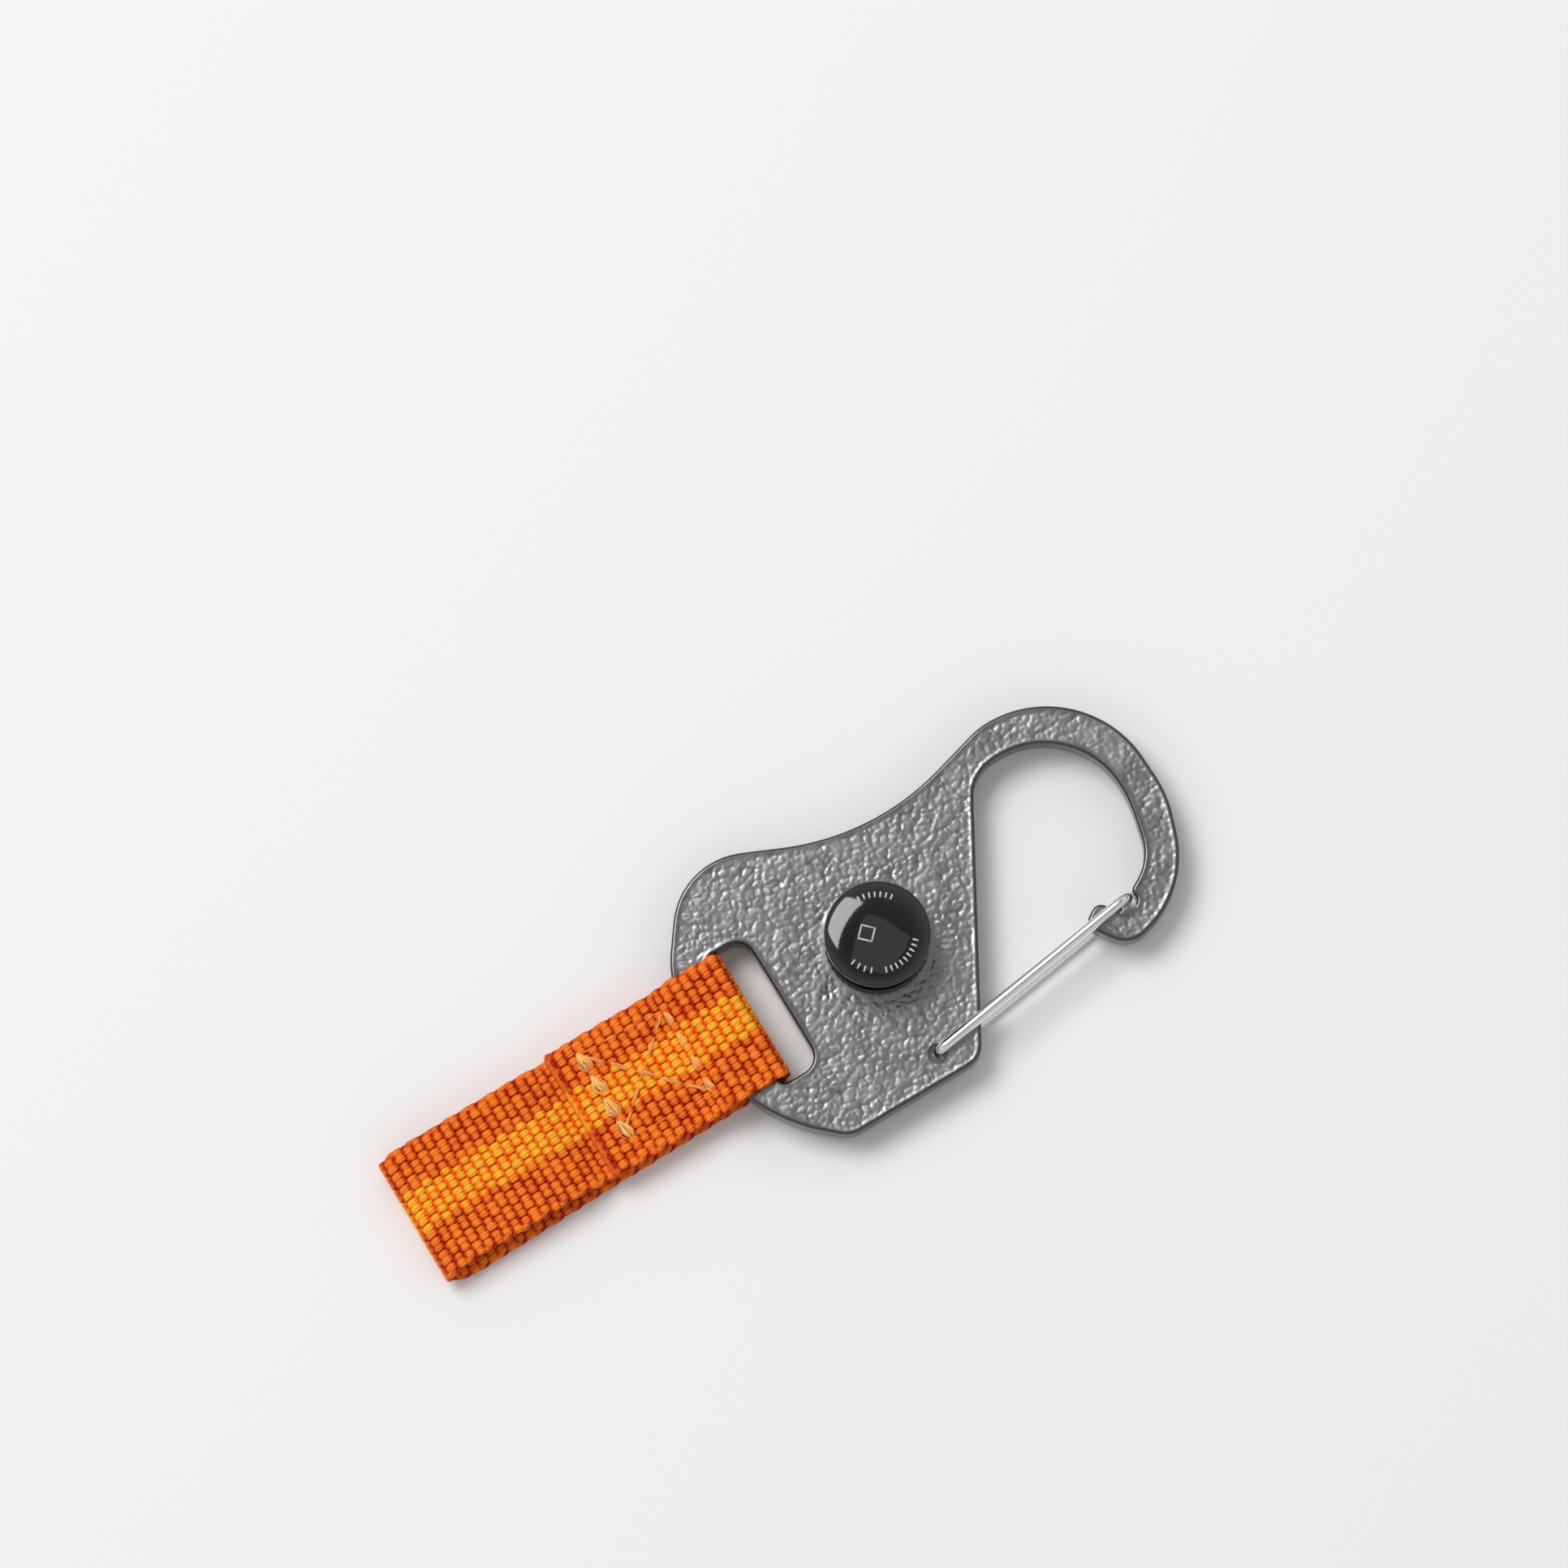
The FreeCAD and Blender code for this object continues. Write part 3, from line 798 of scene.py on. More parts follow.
class KEYRING_OT_stud(bpy.types.Operator):
    """Build the moulded snap stud and the printed ticks on its cap"""

    bl_idname = "keyring.stud"
    bl_label = "Snap stud"

    def execute(self, context):
        s = context.scene.keyring_stud
        _, plate_high = box_mm("carabiner_plate")
        stud_low, stud_high = box_mm("snap_stud")
        radius = (stud_high[0] - stud_low[0]) / 2
        base = plate_high[2]
        neck_z = base + mm(s.base)
        cap_z = neck_z + mm(s.neck_height)
        rim_z = cap_z + mm(s.rise)
        rim_top = rim_z + mm(s.rim)
        top = stud_high[2]
        shoulder = top - rim_top
        wide = mm(s.shoulder)
        neck = mm(s.neck)
        soft = 0.12      # small edges' radius
        profile = [(0.01, base - SPIGOT), (radius - 0.5, base - SPIGOT), (radius - 0.25, base + 0.02)]
        profile += quarter((radius - soft, base + soft), soft, -90, 0)
        profile += quarter((radius - 0.35, neck_z - 0.35), 0.35, 0, 90)
        profile += quarter((neck + 0.5, neck_z + 0.5), 0.5, -90, -180)
        profile += [(neck, cap_z - 0.1), (neck + 0.06, cap_z)]
        profile += [(neck + (radius - neck) * k, cap_z + (rim_z - cap_z) * k) for k in (0.3, 0.65, 0.97)]
        profile += quarter((radius - soft, rim_z + soft), soft, -60, 0, 4)
        sweep = np.radians(np.linspace(0, 90, 30))
        arc = np.column_stack([np.cos(sweep), np.sin(sweep)])
        profile += (arc * (wide, shoulder) + (radius - wide, rim_top)).tolist()
        profile += [(0.01, top)]
        profile = np.array(profile)
        angle = ring_angles(STUD_SIDES)
        flutes = FLUTE_HALF * np.cos(angle * FLUTES)
        r, z = profile.T
        is_base = (z > base) & (z < neck_z - 0.1) & (r > radius - 0.3)
        r = profile[:, 0, None] - np.where(is_base[:, None], FLUTE_HALF - flutes, 0.0)
        z = np.repeat(profile[:, 1, None], STUD_SIDES, axis=1)
        points = np.stack([r * np.cos(angle), r * np.sin(angle), z], -1).reshape(-1, 3)
        faces = skin(np.arange(len(points)).reshape(1, len(profile), STUD_SIDES))
        stud = make_object("snap_stud_moulding", points, faces, plastic(s))
        stud.data.set_sharp_from_angle(angle=math.radians(48))
        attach(stud, "plate")
        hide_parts("snap_stud")

        ticks = tick_marks(profile, mm(s.print_height))
        marks = make_object("cap_ticks", *ticks, printed(s))
        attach(marks, "plate")
        return {"FINISHED"}


def tick_marks(profile, height):
    """Three groups of plain ticks and a small diamond, printed on the cap's face."""
    crown = profile[profile[:, 1] > profile[:, 1].max() - 1.0][::-1]

    def surface(x, y):
        return np.interp(np.hypot(x, y), crown[:, 0], crown[:, 1])

    points = []
    faces = []

    def bar(corners):
        corners = np.array(corners)
        n = len(corners)
        z = surface(corners[:, 0], corners[:, 1])
        first = len(points)
        points.extend(np.column_stack([corners, z - 0.03]).tolist())
        points.extend(np.column_stack([corners, z + height]).tolist())
        faces.append([first + i for i in reversed(range(n))])
        faces.append([first + n + i for i in range(n)])
        for i in range(n):
            j = (i + 1) % n
            faces.append([first + i, first + j, first + n + j, first + n + i])

    for start, end, number in TICK_GROUPS:
        for degrees in np.linspace(start, end, number):
            a = math.radians(degrees)
            out = np.array([math.cos(a), math.sin(a)])
            over = np.array([-out[1], out[0]]) * TICK_HALF
            near, far = out * TICK_IN, out * TICK_OUT
            bar([near - over, far - over, far + over, near + over])
    middle = np.array(DIAMOND)
    sweep = np.arange(4) * math.pi / 2
    ring = np.stack([np.cos(sweep), np.sin(sweep)], 1)
    for i in range(4):
        a, b = ring[i], ring[(i + 1) % 4]
        corners = (a * DIAMOND_OUT, b * DIAMOND_OUT, b * DIAMOND_IN, a * DIAMOND_IN)
        bar([middle + corner for corner in corners])
    return points, faces


# ---- Webbing ---------------------------------------------------------------------------------
STEPS_PER_RIB = 8
YARN_SIDES = 12
GOLD_BAND = (-1.9, 3.0)       # centre band, in millimetres across the webbing
# Sideways drift and share of the full width at each knot along the webbing.
STRIP_SHIFT = (0.35, 0.3, -0.15, -0.75, 0.2, 0.3)
STRIP_SCALE = (1.0, 1.0, 0.985, 0.97, 0.955, 0.96)
BAND_SOFT = 0.3               # width of the changeover between bands
PAIR_SHIFT = 0.045            # neighbouring yarns lean together in pairs
YARN_FULLNESS = 0.62          # squares a yarn's section off
YARN_GROUPS = 5
LOOP_STEPS, LOOP_SIDES = 13, 12
LIP_STEPS, LIP_SIDES = 120, 14
CORE_HALF = 0.1               # half thickness of the ground cloth


class Strip:
    """The webbing's centre line, from its cut end on top, round the bar, to the far fold and back."""

    def __init__(self, s):
        eye_low, eye_high = box_mm("webbing_eye")
        strap_low, strap_high = box_mm("webbing_strap")
        half = mm(s.ply) / 2
        block = (strap_high[0] - mm(s.sewn), strap_high[0])
        self.width = eye_high[1] - eye_low[1]
        bar_edge = box_mm("carabiner_plate")[0][0]
        top = strap_high[2] - half
        raised = eye_high[2] - half
        x = np.arange(block[0], eye_high[0] - mm(s.fold) - 2 * half, 0.1)
        z = top + (raised - top) * ease((x - (bar_edge - 2.5)) / 3.0)
        line = list(zip(x, z))
        radius = mm(s.fold) + half
        turn_x = eye_high[0] - half - radius
        line += quarter((turn_x, raised - radius), radius, 90, 0, 12)
        line += quarter((turn_x, eye_low[2] + half + radius), radius, 0, -90, 12)
        top_end = len(line)
        loop_r = mm(s.loop) / 2 - half
        far = strap_low[0] + mm(s.loop) / 2
        bottom = strap_low[2] + half
        line += [(v, bottom) for v in np.arange(turn_x - 0.3, far, -0.3)]
        line += quarter((far, bottom + loop_r), loop_r, -90, -270, 24)
        x = np.arange(far + 0.2, block[1] - 0.8, 0.1)
        upper = mm(s.loop) - half
        middle = strap_high[2] / 2
        dip = block[0] - 4.5
        line += list(zip(x, upper + (middle - upper) * ease((x - dip) / 4.0)))
        line = np.array(line)
        run = run_along(line)
        self.length = run[-1]
        self.rib = mm(s.rib)
        steps = int(round(self.length / self.rib * STEPS_PER_RIB))
        self.s = np.linspace(0, self.length, steps + 1)
        self.xz = softened(sampled(line, run, self.s), 4)
        ahead = unit(np.gradient(self.xz, axis=0))
        self.normal = np.stack([-ahead[:, 1], np.zeros(len(ahead)), ahead[:, 0]], 1)
        self.s_bar = run[top_end - 1]
        s_far = run[line[:, 0].argmin()]
        knots = [0, self.s_bar, self.s_bar + 22, s_far - 3.0, s_far + 2.6, self.length]
        self.shift = softened(np.interp(self.s, knots, STRIP_SHIFT), 30)
        self.scale = np.interp(self.s, knots, STRIP_SCALE)

    def place(self, index, across, height):
        """Points in space from steps along, millimetres across and millimetres off the centre line."""
        x, z = self.xz[index, 0], self.xz[index, 1]
        y = self.shift[index] + across * self.scale[index]
        centre = np.stack([x + 0 * y, y, z + 0 * y], -1)
        return centre + self.normal[index] * np.asarray(height)[..., None]


def fabric(settings):
    """Woven yarn: bands of colour, with painted shade between the beads and painted light on their
    crests, and fine filaments along each yarn.
    """
    nodes = Nodes("woven_yarn")
    tone = nodes.attribute("tone")
    painted_light = nodes.attribute("painted_light")
    grain = nodes.attribute("grain")
    speckle = nodes.noise(2100.0, 3.0)
    # Mix factor: painted light on the crests and painted shade between the beads, with random speckle,
    # grain and filament stripes.
    lift = nodes.add_share(painted_light, nodes.math("SUBTRACT", speckle, 0.5), 0.9)
    lift = nodes.add_share(lift, nodes.math("SUBTRACT", grain, 0.5), 0.55)
    uv = nodes.add("UVMap")
    split = nodes.add("SeparateXYZ")
    nodes.link(uv.outputs[0], split.inputs[0])
    turn = nodes.add_share(nodes.math("MULTIPLY", split.outputs[1], 8.0), split.outputs[0], 0.55)
    wave = nodes.math("SINE", nodes.math("MULTIPLY", turn, 2 * math.pi))
    lift = nodes.add_share(lift, wave, 0.16)
    clamp = nodes.add("Clamp")
    nodes.link(lift, clamp.inputs[0])
    lift = clamp.outputs[0]
    rust = nodes.mix(lift, tuple(settings.rust_painted_shade), tuple(settings.rust))
    gold = nodes.mix(lift, tuple(settings.gold_painted_shade), tuple(settings.gold))
    nodes.set(
        Base_Color=nodes.mix(tone, rust, gold),
        Roughness=0.55,
        Specular_IOR_Level=0.14,
    )
    height = nodes.add_share(nodes.math("MULTIPLY", wave, 0.6), speckle, 0.8)
    nodes.bump(height, 0.00006, 0.9)
    return nodes.material


def band_tone(across):
    """0 in the rust bands, 1 in the gold one, with a soft changeover."""
    low, high = GOLD_BAND
    return ease((across - low) / BAND_SOFT + 0.5) * ease((high - across) / BAND_SOFT + 0.5)


def blend_over_hinge(piece):
    """Bake the piece's placement into its points; nothing bends the webbing over the swing axis."""
    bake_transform(piece)


class KEYRING_OT_webbing(bpy.types.Operator):
    """Weave the webbing: ground cloth, warp yarns in five groups, selvedge loops and the melted end"""

    bl_idname = "keyring.webbing"
    bl_label = "Webbing"

    def execute(self, context):
        s = context.scene.keyring_webbing
        strip = Strip(s)
        cloth = fabric(s)
        yarns = s.yarns
        pitch = (strip.width - 1.0) / (yarns - 1)
        middle = (yarns - 1) / 2
        steps = len(strip.s)
        rng = np.random.default_rng(5)
        ribs = int(strip.length / strip.rib) + 2
        bead = rng.random((yarns, ribs))
        wander = rng.random((yarns, ribs)) - 0.5
        pairs = np.array([1, -1, -1, 1]) * PAIR_SHIFT
        phase = strip.s / strip.rib
        rib_index = np.clip(np.floor(phase + 0.5).astype(int), 0, ribs - 1)
        start_fade = ease(strip.s / 0.7)
        warp = []
        for j in range(yarns):
            wave = np.cos(math.pi * (phase + j))
            full = np.abs(wave) ** 0.42
            edge = min(j, yarns - 1 - j)
            fat = 1.12 if edge < 2 else 1.0
            size = 1 + 0.14 * (bead[j, rib_index] - 0.5)
            soft = np.interp(phase, np.arange(ribs), wander[j])
            across = (j - middle) * pitch + pairs[j % 4] * full + 0.05 * soft
            height = mm(s.swing) * np.sign(wave) * np.abs(wave) ** 0.6
            height = height * (0.25 + 0.75 * start_fade) * size
            half_width = (0.55 + 0.5 * full * size) * pitch * fat
            half_thick = mm(s.thick) * (0.6 + 0.4 * start_fade) * (0.92 + 0.08 * full)
            warp.append((across, height, half_width, half_thick, np.abs(wave), bead[j, rib_index]))
        pieces = []
        index = np.arange(steps)
        for number, group in enumerate(self.split(yarns), 1):
            rows = [warp[j] for j in group]
            across = np.array([r[0] for r in rows])
            height = np.array([r[1] for r in rows])
            centres = np.array([strip.place(index, a, h) for a, h in zip(across, height)])
            side = np.zeros_like(centres)
            side[..., 1] = 1.0
            normal = unit(np.cross(unit(np.gradient(centres, axis=1)), side))
            half_width = np.array([r[2] for r in rows]) * strip.scale
            half_thick = np.array([r[3] for r in rows])
            points, faces, uv = tube_bundle(
                centres, side, normal, half_width, half_thick, YARN_SIDES, YARN_FULLNESS
            )
            shape = (len(rows), steps, YARN_SIDES)
            around = np.sin(ring_angles(YARN_SIDES))
            offset = height[..., None] + half_thick[..., None] * around
            # Painted light: the parts of each bead that stand proud get the lit colour, the rest the
            # painted shade.
            proud = ease((np.abs(offset) / (mm(s.swing) + mm(s.thick)) - 0.3) / 0.5)
            painted_light = proud * ease((np.array([r[4] for r in rows])[..., None] - 0.38) / 0.6)
            tone = np.broadcast_to(band_tone(across)[..., None], shape)
            grain = np.broadcast_to(np.array([r[5] for r in rows])[..., None], shape)
            values = {"tone": tone, "painted_light": painted_light, "grain": grain}
            pieces.append(make_object(f"warp_yarns_{number}", points, faces, cloth, uv, values))
        pieces.append(self.selvedges(strip, cloth, pitch * middle, rng))
        pieces.append(self.melted_end(strip, cloth))
        core = self.ground(strip, cloth)
        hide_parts("webbing_eye", "webbing_strap")
        for piece in (core, *pieces):
            blend_over_hinge(piece)
        return {"FINISHED"}

    @staticmethod
    def split(yarns):
        edges = np.linspace(0, yarns, YARN_GROUPS + 1).round().astype(int)
        return [range(a, b) for a, b in zip(edges, edges[1:])]

    @staticmethod
    def ground(strip, cloth):
        """Thin sheet of ground cloth inside the yarns."""
        columns = 12
        half = strip.width / 2 - 0.5
        index = np.arange(len(strip.s))[::4]
        if index[-1] != len(strip.s) - 1:
            index = np.append(index, len(strip.s) - 1)
        across = np.linspace(-half, half, columns)
        rows = []
        for way in (1, -1):
            for a in across if way == 1 else across[::-1]:
                flat = np.ones(len(index))
                rows.append(strip.place(index, a * flat, way * CORE_HALF * flat))
        points = np.array(rows).transpose(1, 0, 2)
        steps, ring = points.shape[:2]
        faces = skin(np.arange(steps * ring).reshape(1, steps, ring))
        y = np.concatenate([across, across[::-1]])
        tone = np.broadcast_to(band_tone(y), (steps, ring))
        # Painted shade: the whole ground cloth takes the deep colour between the beads.
        low = np.zeros((steps, ring))
        values = {"tone": tone, "painted_light": low, "grain": low}
        return make_object("ground_cloth", points.reshape(-1, 3), faces, cloth, None, values)

    @staticmethod
    def selvedges(strip, cloth, edge, rng):
        """Weft loops that turn round the outer yarns, one for each pair of ribs."""
        sweep = np.linspace(0, 1, LOOP_STEPS)
        centres, sides, normals, widths, heights, grains = [], [], [], [], [], []
        total = int(strip.length / strip.rib)
        for way in (1, -1):
            for k in range(1 if way == 1 else 2, total - 1, 2):
                s_at = (k - 0.3 + sweep * 1.6) * strip.rib
                index = np.interp(s_at, strip.s, np.arange(len(strip.s))).round().astype(int)
                size = 1 + 0.16 * (rng.random() - 0.5)
                bow = np.sin(math.pi * sweep) ** 0.5
                across = way * (edge - 0.5 + 0.62 * bow * size)
                exact = sampled(strip.xz, strip.s, s_at)
                y = strip.shift[index] + across * strip.scale[index]
                centre = np.stack([exact[:, 0], y, exact[:, 1]], 1)
                normal = strip.normal[index]
                side = unit(np.cross(normal, unit(np.gradient(centre, axis=0))))
                centres.append(centre)
                sides.append(side)
                normals.append(normal)
                widths.append(0.34 * size * (0.75 + 0.25 * bow))
                heights.append(0.52 * size * (0.7 + 0.3 * bow))
                grains.append(rng.random())
        rings = [np.array(a) for a in (centres, sides, normals, widths, heights)]
        points, faces, uv = tube_bundle(*rings, LOOP_SIDES)
        shape = (len(centres), LOOP_STEPS, LOOP_SIDES)
        around = np.abs(np.sin(ring_angles(LOOP_SIDES)))
        # Painted light: each loop is lighter in its middle and on its faces, and in painted shade
        # elsewhere.
        lit = (0.3 + 0.6 * np.sin(math.pi * sweep))[None, :, None]
        painted_light = np.broadcast_to(lit * (0.6 + 0.4 * around), shape)
        grain = np.broadcast_to(np.array(grains)[:, None, None], shape)
        values = {"tone": np.zeros(shape), "painted_light": painted_light, "grain": grain}
        return make_object("selvedge_loops", points, faces, cloth, uv, values)

    @staticmethod
    def melted_end(strip, cloth):
        """Heat-sealed lip along the cut end."""
        half = strip.width / 2 - 0.15
        across = np.linspace(-half, half, LIP_STEPS)
        lumps = soft_noise(across * 1.1, across * 0 + 2.5, 31)
        fine = soft_noise(across * 3.4, across * 0 + 1.5, 32)
        y = strip.shift[0] + across
        x = strip.xz[0, 0] - 0.02 + 0.05 * lumps + 0.03 * fine
        z = strip.xz[0, 1] - 0.12 + 0.03 * fine
        centre = np.stack([x, y, z], 1)
        side = np.broadcast_to(np.array([1.0, 0.0, 0.0]), centre.shape)
        normal = np.cross(side, unit(np.gradient(centre, axis=0)))
        ends = ease((half - np.abs(across)) / 0.5) * 0.5 + 0.5
        width = (0.36 + 0.05 * lumps) * ends
        height = (0.42 + 0.04 * fine) * ends
        points, faces, uv = tube_bundle(
            centre[None], side[None], normal[None], width[None], height[None], LIP_SIDES
        )
        shape = (LIP_STEPS, LIP_SIDES)
        tone = np.broadcast_to(band_tone(across)[:, None], shape)
        around = np.sin(ring_angles(LIP_SIDES))
        # Painted light: the lip's upper side is lighter than its under side.
        painted_light = np.broadcast_to(np.clip(0.4 + 0.25 * around, 0, 1), shape)
        grain = np.broadcast_to((0.5 + 0.3 * fine)[:, None], shape)
        values = {"tone": tone, "painted_light": painted_light, "grain": grain}
        return make_object("melted_end", points, faces, cloth, uv, values)


# ---- Stitching -------------------------------------------------------------------------------
THREAD_HALF = 0.225           # half width of the frame's thread
FILAMENT_SIDES, FILAMENT_STEPS = 6, 13
YARN_TOP = 0.6                # about the height of the beads over the webbing's centre line
UNDER_REST = 0.16             # bobbin filaments over the lowest point of the frame's thread
BOBBIN_STITCH = 2.4           # length of one stitch underneath
HEAVY_TUFTS = (5.4, 2.45, -0.5, -3.4)     # middles of the tufts by the melted end, across the webbing
LIGHT_TUFTS = (4.7, 1.9, -1.0, -3.9)      # the same by the bar


def stitch_lines():
    """Middle lines of the sewn box and its cross, from the frame's thread."""
    low, high = box_mm("needle_thread")
    x0, y0, _ = low + THREAD_HALF
    x1, y1, _ = high - THREAD_HALF
    corners = [(x0, y0), (x1, y0), (x1, y1), (x0, y1)]
    lines = [(corners[i], corners[(i + 1) % 4]) for i in range(4)]
    return lines + [(corners[0], corners[2]), (corners[1], corners[3])]


def part_of(start, end, k, parts, gap):
    """Ends of one of several equal parts of a line, each end drawn in by a share of the part."""
    start, end = np.array(start), np.array(end)
    return start + (end - start) * (k + gap) / parts, start + (end - start) * (k + 1 - gap) / parts


def thread_material(settings):
    nodes = Nodes("sewing_thread")
    tone = nodes.attribute("tone")
    grain = nodes.attribute("grain")
    light = nodes.mix(grain, shade(settings.peach, 0.94), shade(settings.peach, 1.3))
    fuzz = nodes.noise(4200.0, 3.0)
    nodes.set(
        # Painted shade: tone runs from the pinched colour where the thread sinks into the webbing to the
        # lit peach in the middle of each stitch.
        Base_Color=nodes.mix(tone, tuple(settings.pinched_painted_shade), light),
        Roughness=0.6,
        Specular_IOR_Level=0.12,
    )
    nodes.bump(fuzz, 0.00001, 0.4)
    return nodes.material


class Filaments:
    """Collects thin curved filaments and makes one mesh of them."""

    def __init__(self, seed, radius, surface):
        self.rng = np.random.default_rng(seed)
        self.radius = radius
        self.surface = surface
        self.lines = []
        self.painted_light_shares = []
        self.grains = []
        self.sizes = []

    def stitch(self, start, end, level, number, spread, rise, ends, deep=0.45, way=1, light=1.0):
        """One visible stitch: filaments that dip into the cloth at both ends and fan out between."""
        start, end = np.array(start, float), np.array(end, float)
        run = end - start
        length = np.hypot(*run)
        ahead = run / length
        over = np.array([-ahead[1], ahead[0]])
        u = np.linspace(0, 1, FILAMENT_STEPS)
        bow = np.sin(math.pi * u)
        for place in np.linspace(-1, 1, number):
            place += self.rng.normal(0, 0.2)
            slip = self.rng.normal(0, 0.05, 2)
            fan = place * (ends + (spread - ends) * ease(u * 1.4))
            fan = fan * (1 - 0.5 * ease((u - 0.6) / 0.4))
            fan = fan + 0.05 * self.rng.normal() * np.sin(2 * math.pi * u + self.rng.random() * 6)
            xy = start + slip[0] * ahead + np.outer(u * (1 + slip[1]), run) + np.outer(fan, over)
            rest = rise * (1 - 0.45 * min(abs(place), 1) ** 2) * self.rng.uniform(0.7, 1.1)
            z = self.surface(xy[:, 0]) + level + way * (rest * bow**0.6 - deep * np.abs(2 * u - 1) ** 5)
            self.lines.append(np.column_stack([xy, z]))
            # Painted light: the middle of each stitch is lit and its ends go to painted shade; the light
            # argument sets how lit the whole stitch is.
            self.painted_light_shares.append(np.clip(light * ease(bow * 2.0) * self.rng.uniform(0.7, 1.0), 0, 1))
            self.grains.append(self.rng.random())
            self.sizes.append(self.radius * self.rng.uniform(0.8, 1.2) * (0.75 + 0.25 * bow))

    def build(self, name, material):
        centres = np.array(self.lines)
        tangent = unit(np.gradient(centres, axis=1))
        side = unit(np.cross((0.0, 0.0, 1.0), tangent))
        normal = np.cross(tangent, side)
        size = np.array(self.sizes)
        points, faces, uv = tube_bundle(centres, side, normal, size, size, FILAMENT_SIDES)
        shape = (*size.shape, FILAMENT_SIDES)
        tone = np.broadcast_to(np.array(self.painted_light_shares)[..., None], shape)
        grain = np.broadcast_to(np.array(self.grains)[:, None, None], shape)
        return make_object(name, points, faces, material, uv, {"tone": tone, "grain": grain})


class KEYRING_OT_stitching(bpy.types.Operator):
    """Sew the box and its cross: loose tufts on top and neat short stitches underneath"""

    bl_idname = "keyring.stitching"
    bl_label = "Stitching"

    def execute(self, context):
        s = context.scene.keyring_stitches
        strip = Strip(context.scene.keyring_webbing)
        upper = slice(0, int(len(strip.s) * strip.s_bar / strip.length * 0.8))
        low, high = box_mm("needle_thread")
        x0, x1 = low[0] + THREAD_HALF, high[0] - THREAD_HALF
        radius = mm(s.filament)
        material = thread_material(s)
        top_x, top_z = strip.xz[upper].T
        needle = Filaments(41, radius, lambda x: np.interp(x, top_x, top_z) + YARN_TOP)
        heavy = dict(level=0.03, number=26, spread=0.72, rise=0.24, ends=0.14)
        for y in HEAVY_TUFTS:
            needle.stitch((x0 - 0.15, y + 1.3), (x0 + 0.3, y - 1.3), **heavy)
        light = dict(level=0.02, number=12, spread=0.4, rise=0.24, ends=0.1, light=0.9)
        for y in LIGHT_TUFTS:
            needle.stitch((x1 + 0.1, y + 1.15), (x1 + 0.25, y - 1.15), **light)
        crossing = dict(level=0.0, number=6, spread=0.17, rise=0.2, ends=0.08, light=0.72)
        for a, b in (((x0 + 0.1, 6.1), (x1, -4.6)), ((x1, 5.8), (x0, -3.6))):
            for k in range(5):
                needle.stitch(*part_of(a, b, k, 5, 0.06), **crossing)
        # The side stitches sit lower, so their light is set lower: painted shade.
        plus_side = dict(level=-0.1, number=3, spread=0.08, rise=0.12, ends=0.03, light=0.45)
        minus_side = dict(level=-0.14, number=2, spread=0.06, rise=0.12, ends=0.03, light=0.3)
        for k in range(4):
            needle.stitch(*part_of((x0, 6.3), (x1, 5.9), k, 4, 0.1), **plus_side)
            needle.stitch(*part_of((x0 + 0.2, -4.5), (x1, -5.1), k, 4, 0.1), **minus_side)
        above = needle.build("needle_stitches", material)
        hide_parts("needle_thread")

        rest = box_mm("bobbin_thread")[0][2] + UNDER_REST
        bobbin = Filaments(43, radius, lambda x: np.full_like(x, rest))
        plain = dict(level=0.0, number=7, spread=0.2, rise=0.1, ends=0.08, way=-1, deep=0.3, light=0.8)
        for a, b in stitch_lines():
            parts = int(round(math.dist(a, b) / BOBBIN_STITCH))
            for k in range(parts):
                bobbin.stitch(*part_of(a, b, k, parts, 0.08), **plain)
        below = bobbin.build("bobbin_stitches", material)
        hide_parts("bobbin_thread")
        for piece in (above, below):
            blend_over_hinge(piece)
        return {"FINISHED"}


# ---- Stage -----------------------------------------------------------------------------------
TURN = math.radians(31)       # the plate's X axis is turned this far clockwise from the camera's right
TILT = math.radians(11)       # camera's lean from straight above
VIEW_WIDTH = 173.9            # millimetres across the view
AIM_LEFT, AIM_UP = 10.3, 17.62    # view's centre from the stud's axis, along the camera's own axes
LENS = 200.0
SENSOR = 36.0
FLOOR_HALF, FLOOR_DROP = 3000.0, 0.02     # millimetres
SOFTBOX_SIZE, PANEL_SIZE = (0.95, 0.8), (0.5, 0.6)      # metres, like the lamps' places below
SOFTBOX_AWAY, SOFTBOX_LEFT, SOFTBOX_UP = 0.55, 0.735, 1.31
PANEL_RIGHT, PANEL_UP = 0.019, 1.2
PANEL_TURN = (0.9, 0.43)      # cosine and sine, closely, of the panel's turn from the camera's right
# Place on the ramp and grey of the studio there. The ramp is read by the direction's height.
SKY = ((0.001, 0.16), (0.2, 0.42), (0.5, 0.8), (0.8, 0.55), (0.999, 0.17))


def camera_axes():
    right = Vector((math.cos(TURN), -math.sin(TURN), 0))
    away = Vector((math.sin(TURN), math.cos(TURN), 0))
    back = Vector((0, 0, 1)) * math.cos(TILT) - away * math.sin(TILT)
    up = away * math.cos(TILT) + Vector((0, 0, 1)) * math.sin(TILT)
    return right, up, back


def area_light(context, name, place, target, size, power):
    data = bpy.data.lights.new(name, "AREA")
    data.shape = "RECTANGLE"
    data.size, data.size_y = size
    data.energy = power
    lamp = bpy.data.objects.new(name, data)
    context.scene.collection.objects.link(lamp)
    lamp.location = place
    lamp.rotation_euler = (target - place).to_track_quat("-Z", "Y").to_euler()
    lamp.visible_camera = False
    return lamp


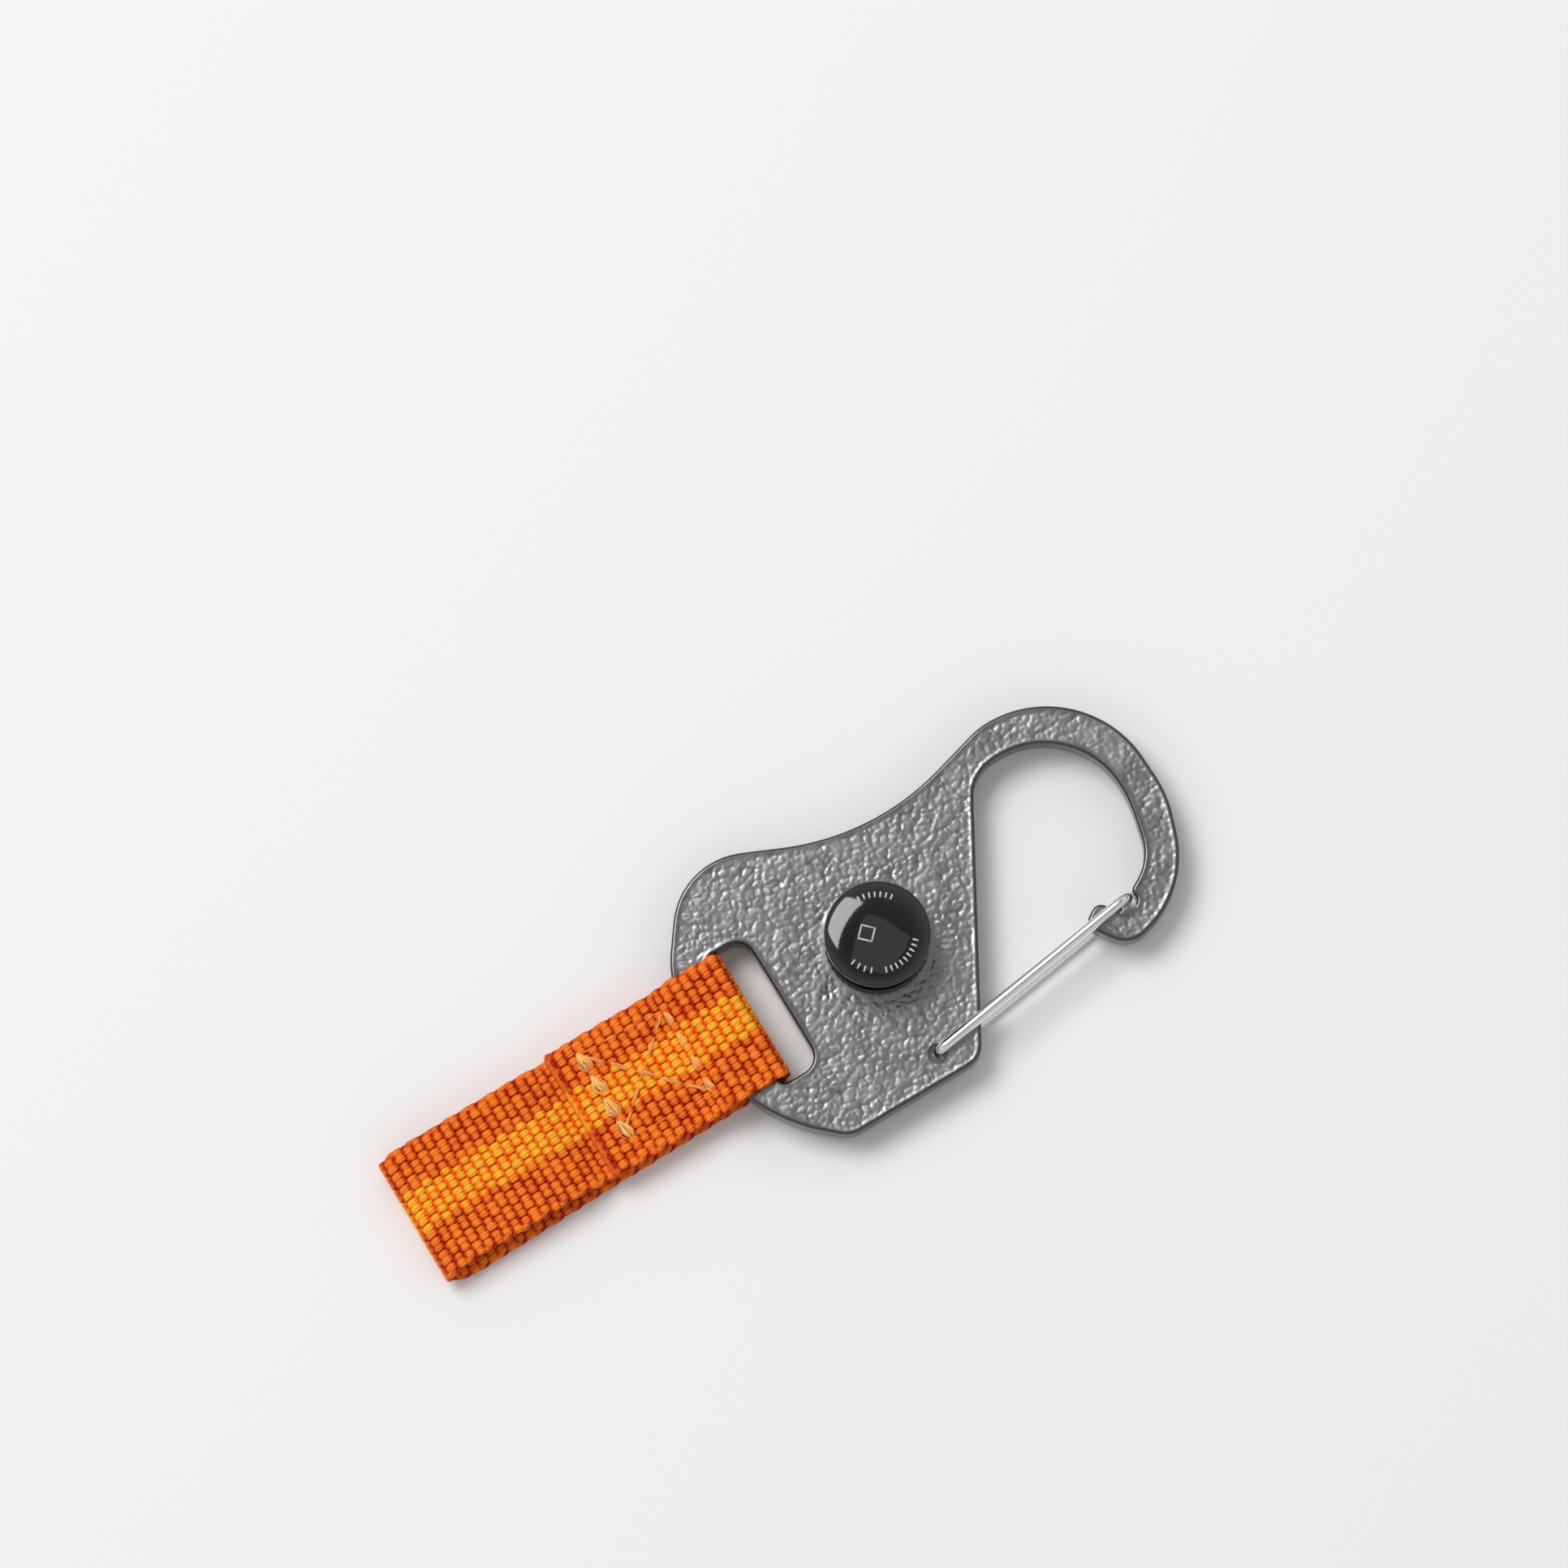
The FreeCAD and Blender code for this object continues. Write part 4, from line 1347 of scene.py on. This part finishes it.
class KEYRING_OT_stage(bpy.types.Operator):
    """Lay the pale floor and set the soft light and the camera"""

    bl_idname = "keyring.stage"
    bl_label = "Stage"

    def execute(self, context):
        s = context.scene.keyring_stage
        scene = context.scene
        scene.view_settings.view_transform = "Standard"
        right, up, back = camera_axes()
        plate_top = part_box("carabiner_plate")[1].z
        foot = Vector((AXIS[0], AXIS[1], plate_top))
        aim = foot - right * AIM_LEFT * MM + up * AIM_UP * MM
        camera = bpy.data.objects.new("camera", bpy.data.cameras.new("camera"))
        scene.collection.objects.link(camera)
        camera.data.lens = LENS
        camera.data.sensor_width = SENSOR
        distance = VIEW_WIDTH * MM * LENS / SENSOR
        camera.location = aim + back * distance
        camera.data.clip_start = 0.01
        camera.data.clip_end = 20
        rotation = Matrix((right, up, back)).transposed()
        camera.rotation_euler = rotation.to_euler()
        scene.camera = camera

        nodes = Nodes("floor")
        paper = nodes.noise(900.0, 4.0)
        nodes.set(
            Base_Color=nodes.mix(paper, shade(s.floor, 0.995), tuple(s.floor)),
            Roughness=0.85,
            Specular_IOR_Level=0.1,
        )
        square = ((-1, -1), (1, -1), (1, 1), (-1, 1))
        corners = [(x * FLOOR_HALF, y * FLOOR_HALF, -FLOOR_DROP) for x, y in square]
        floor = make_object("floor", corners, [[0, 1, 2, 3]], nodes.material)

        world = bpy.data.worlds.new("studio")
        scene.world = world
        world.use_nodes = True
        tree = world.node_tree
        background = tree.nodes["Background"]
        background.inputs["Strength"].default_value = s.fill
        direction = tree.nodes.new("ShaderNodeTexCoord")
        split = tree.nodes.new("ShaderNodeSeparateXYZ")
        ramp = tree.nodes.new("ShaderNodeValToRGB")
        tree.links.new(direction.outputs["Generated"], split.inputs[0])
        tree.links.new(split.outputs[2], ramp.inputs[0])
        tree.links.new(ramp.outputs[0], background.inputs["Color"])
        stops = ramp.color_ramp.elements
        for position, grey in SKY:
            stop = stops.new(position)
            stop.color = (grey, grey, grey, 1)
        stops.remove(stops[-1])
        stops.remove(stops[0])

        away = Vector((up.x, up.y, 0)).normalized()
        target = Vector((AXIS[0], AXIS[1], 0))
        place = target + (away * SOFTBOX_AWAY - right * SOFTBOX_LEFT) + Vector((0, 0, 1)) * SOFTBOX_UP
        area_light(context, "softbox", place, target, SOFTBOX_SIZE, s.softbox)
        place = target + Vector((0, 0, PANEL_UP)) + right * PANEL_RIGHT
        panel = area_light(context, "overhead", place, target, PANEL_SIZE, s.overhead)
        cos, sin = PANEL_TURN
        sides = (right * cos - away * sin, right * sin + away * cos, Vector((0, 0, 1)))
        panel.rotation_euler = Matrix(sides).transposed().to_euler()
        return {"FINISHED"}


class KEYRING_PT_panel(bpy.types.Panel):
    """Lists the keyring's pieces in the order that they are built"""

    bl_label = "Carabiner keyring"
    bl_idname = "KEYRING_PT_panel"
    bl_space_type = "VIEW_3D"
    bl_region_type = "UI"
    bl_category = "Keyring"

    def draw(self, context):
        for group, operator in PARTS:
            box = self.layout.box()
            box.operator(operator.bl_idname)
            settings = getattr(context.scene, group)
            for name in settings.bl_rna.properties.keys():
                if name not in ("rna_type", "name"):
                    box.prop(settings, name)


GROUPS = {
    "keyring_plate": PlateSettings,
    "keyring_gate": GateSettings,
    "keyring_stud": StudSettings,
    "keyring_webbing": WebbingSettings,
    "keyring_stitches": StitchSettings,
    "keyring_stage": StageSettings,
}
PARTS = (
    ("keyring_plate", KEYRING_OT_plate),
    ("keyring_gate", KEYRING_OT_gate),
    ("keyring_stud", KEYRING_OT_stud),
    ("keyring_webbing", KEYRING_OT_webbing),
    ("keyring_stitches", KEYRING_OT_stitching),
    ("keyring_stage", KEYRING_OT_stage),
)
CLASSES = (*GROUPS.values(), *(operator for _, operator in PARTS), KEYRING_PT_panel)


def register():
    for cls in CLASSES:
        bpy.utils.register_class(cls)
    for name, group in GROUPS.items():
        setattr(bpy.types.Scene, name, PointerProperty(type=group))


def unregister():
    for name in GROUPS:
        delattr(bpy.types.Scene, name)
    for cls in reversed(CLASSES):
        bpy.utils.unregister_class(cls)


def main():
    register()
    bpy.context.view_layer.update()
    for operator in ("plate", "gate", "stud", "webbing", "stitching", "stage"):
        getattr(bpy.ops.keyring, operator)()


if __name__ == "__main__":
    main()
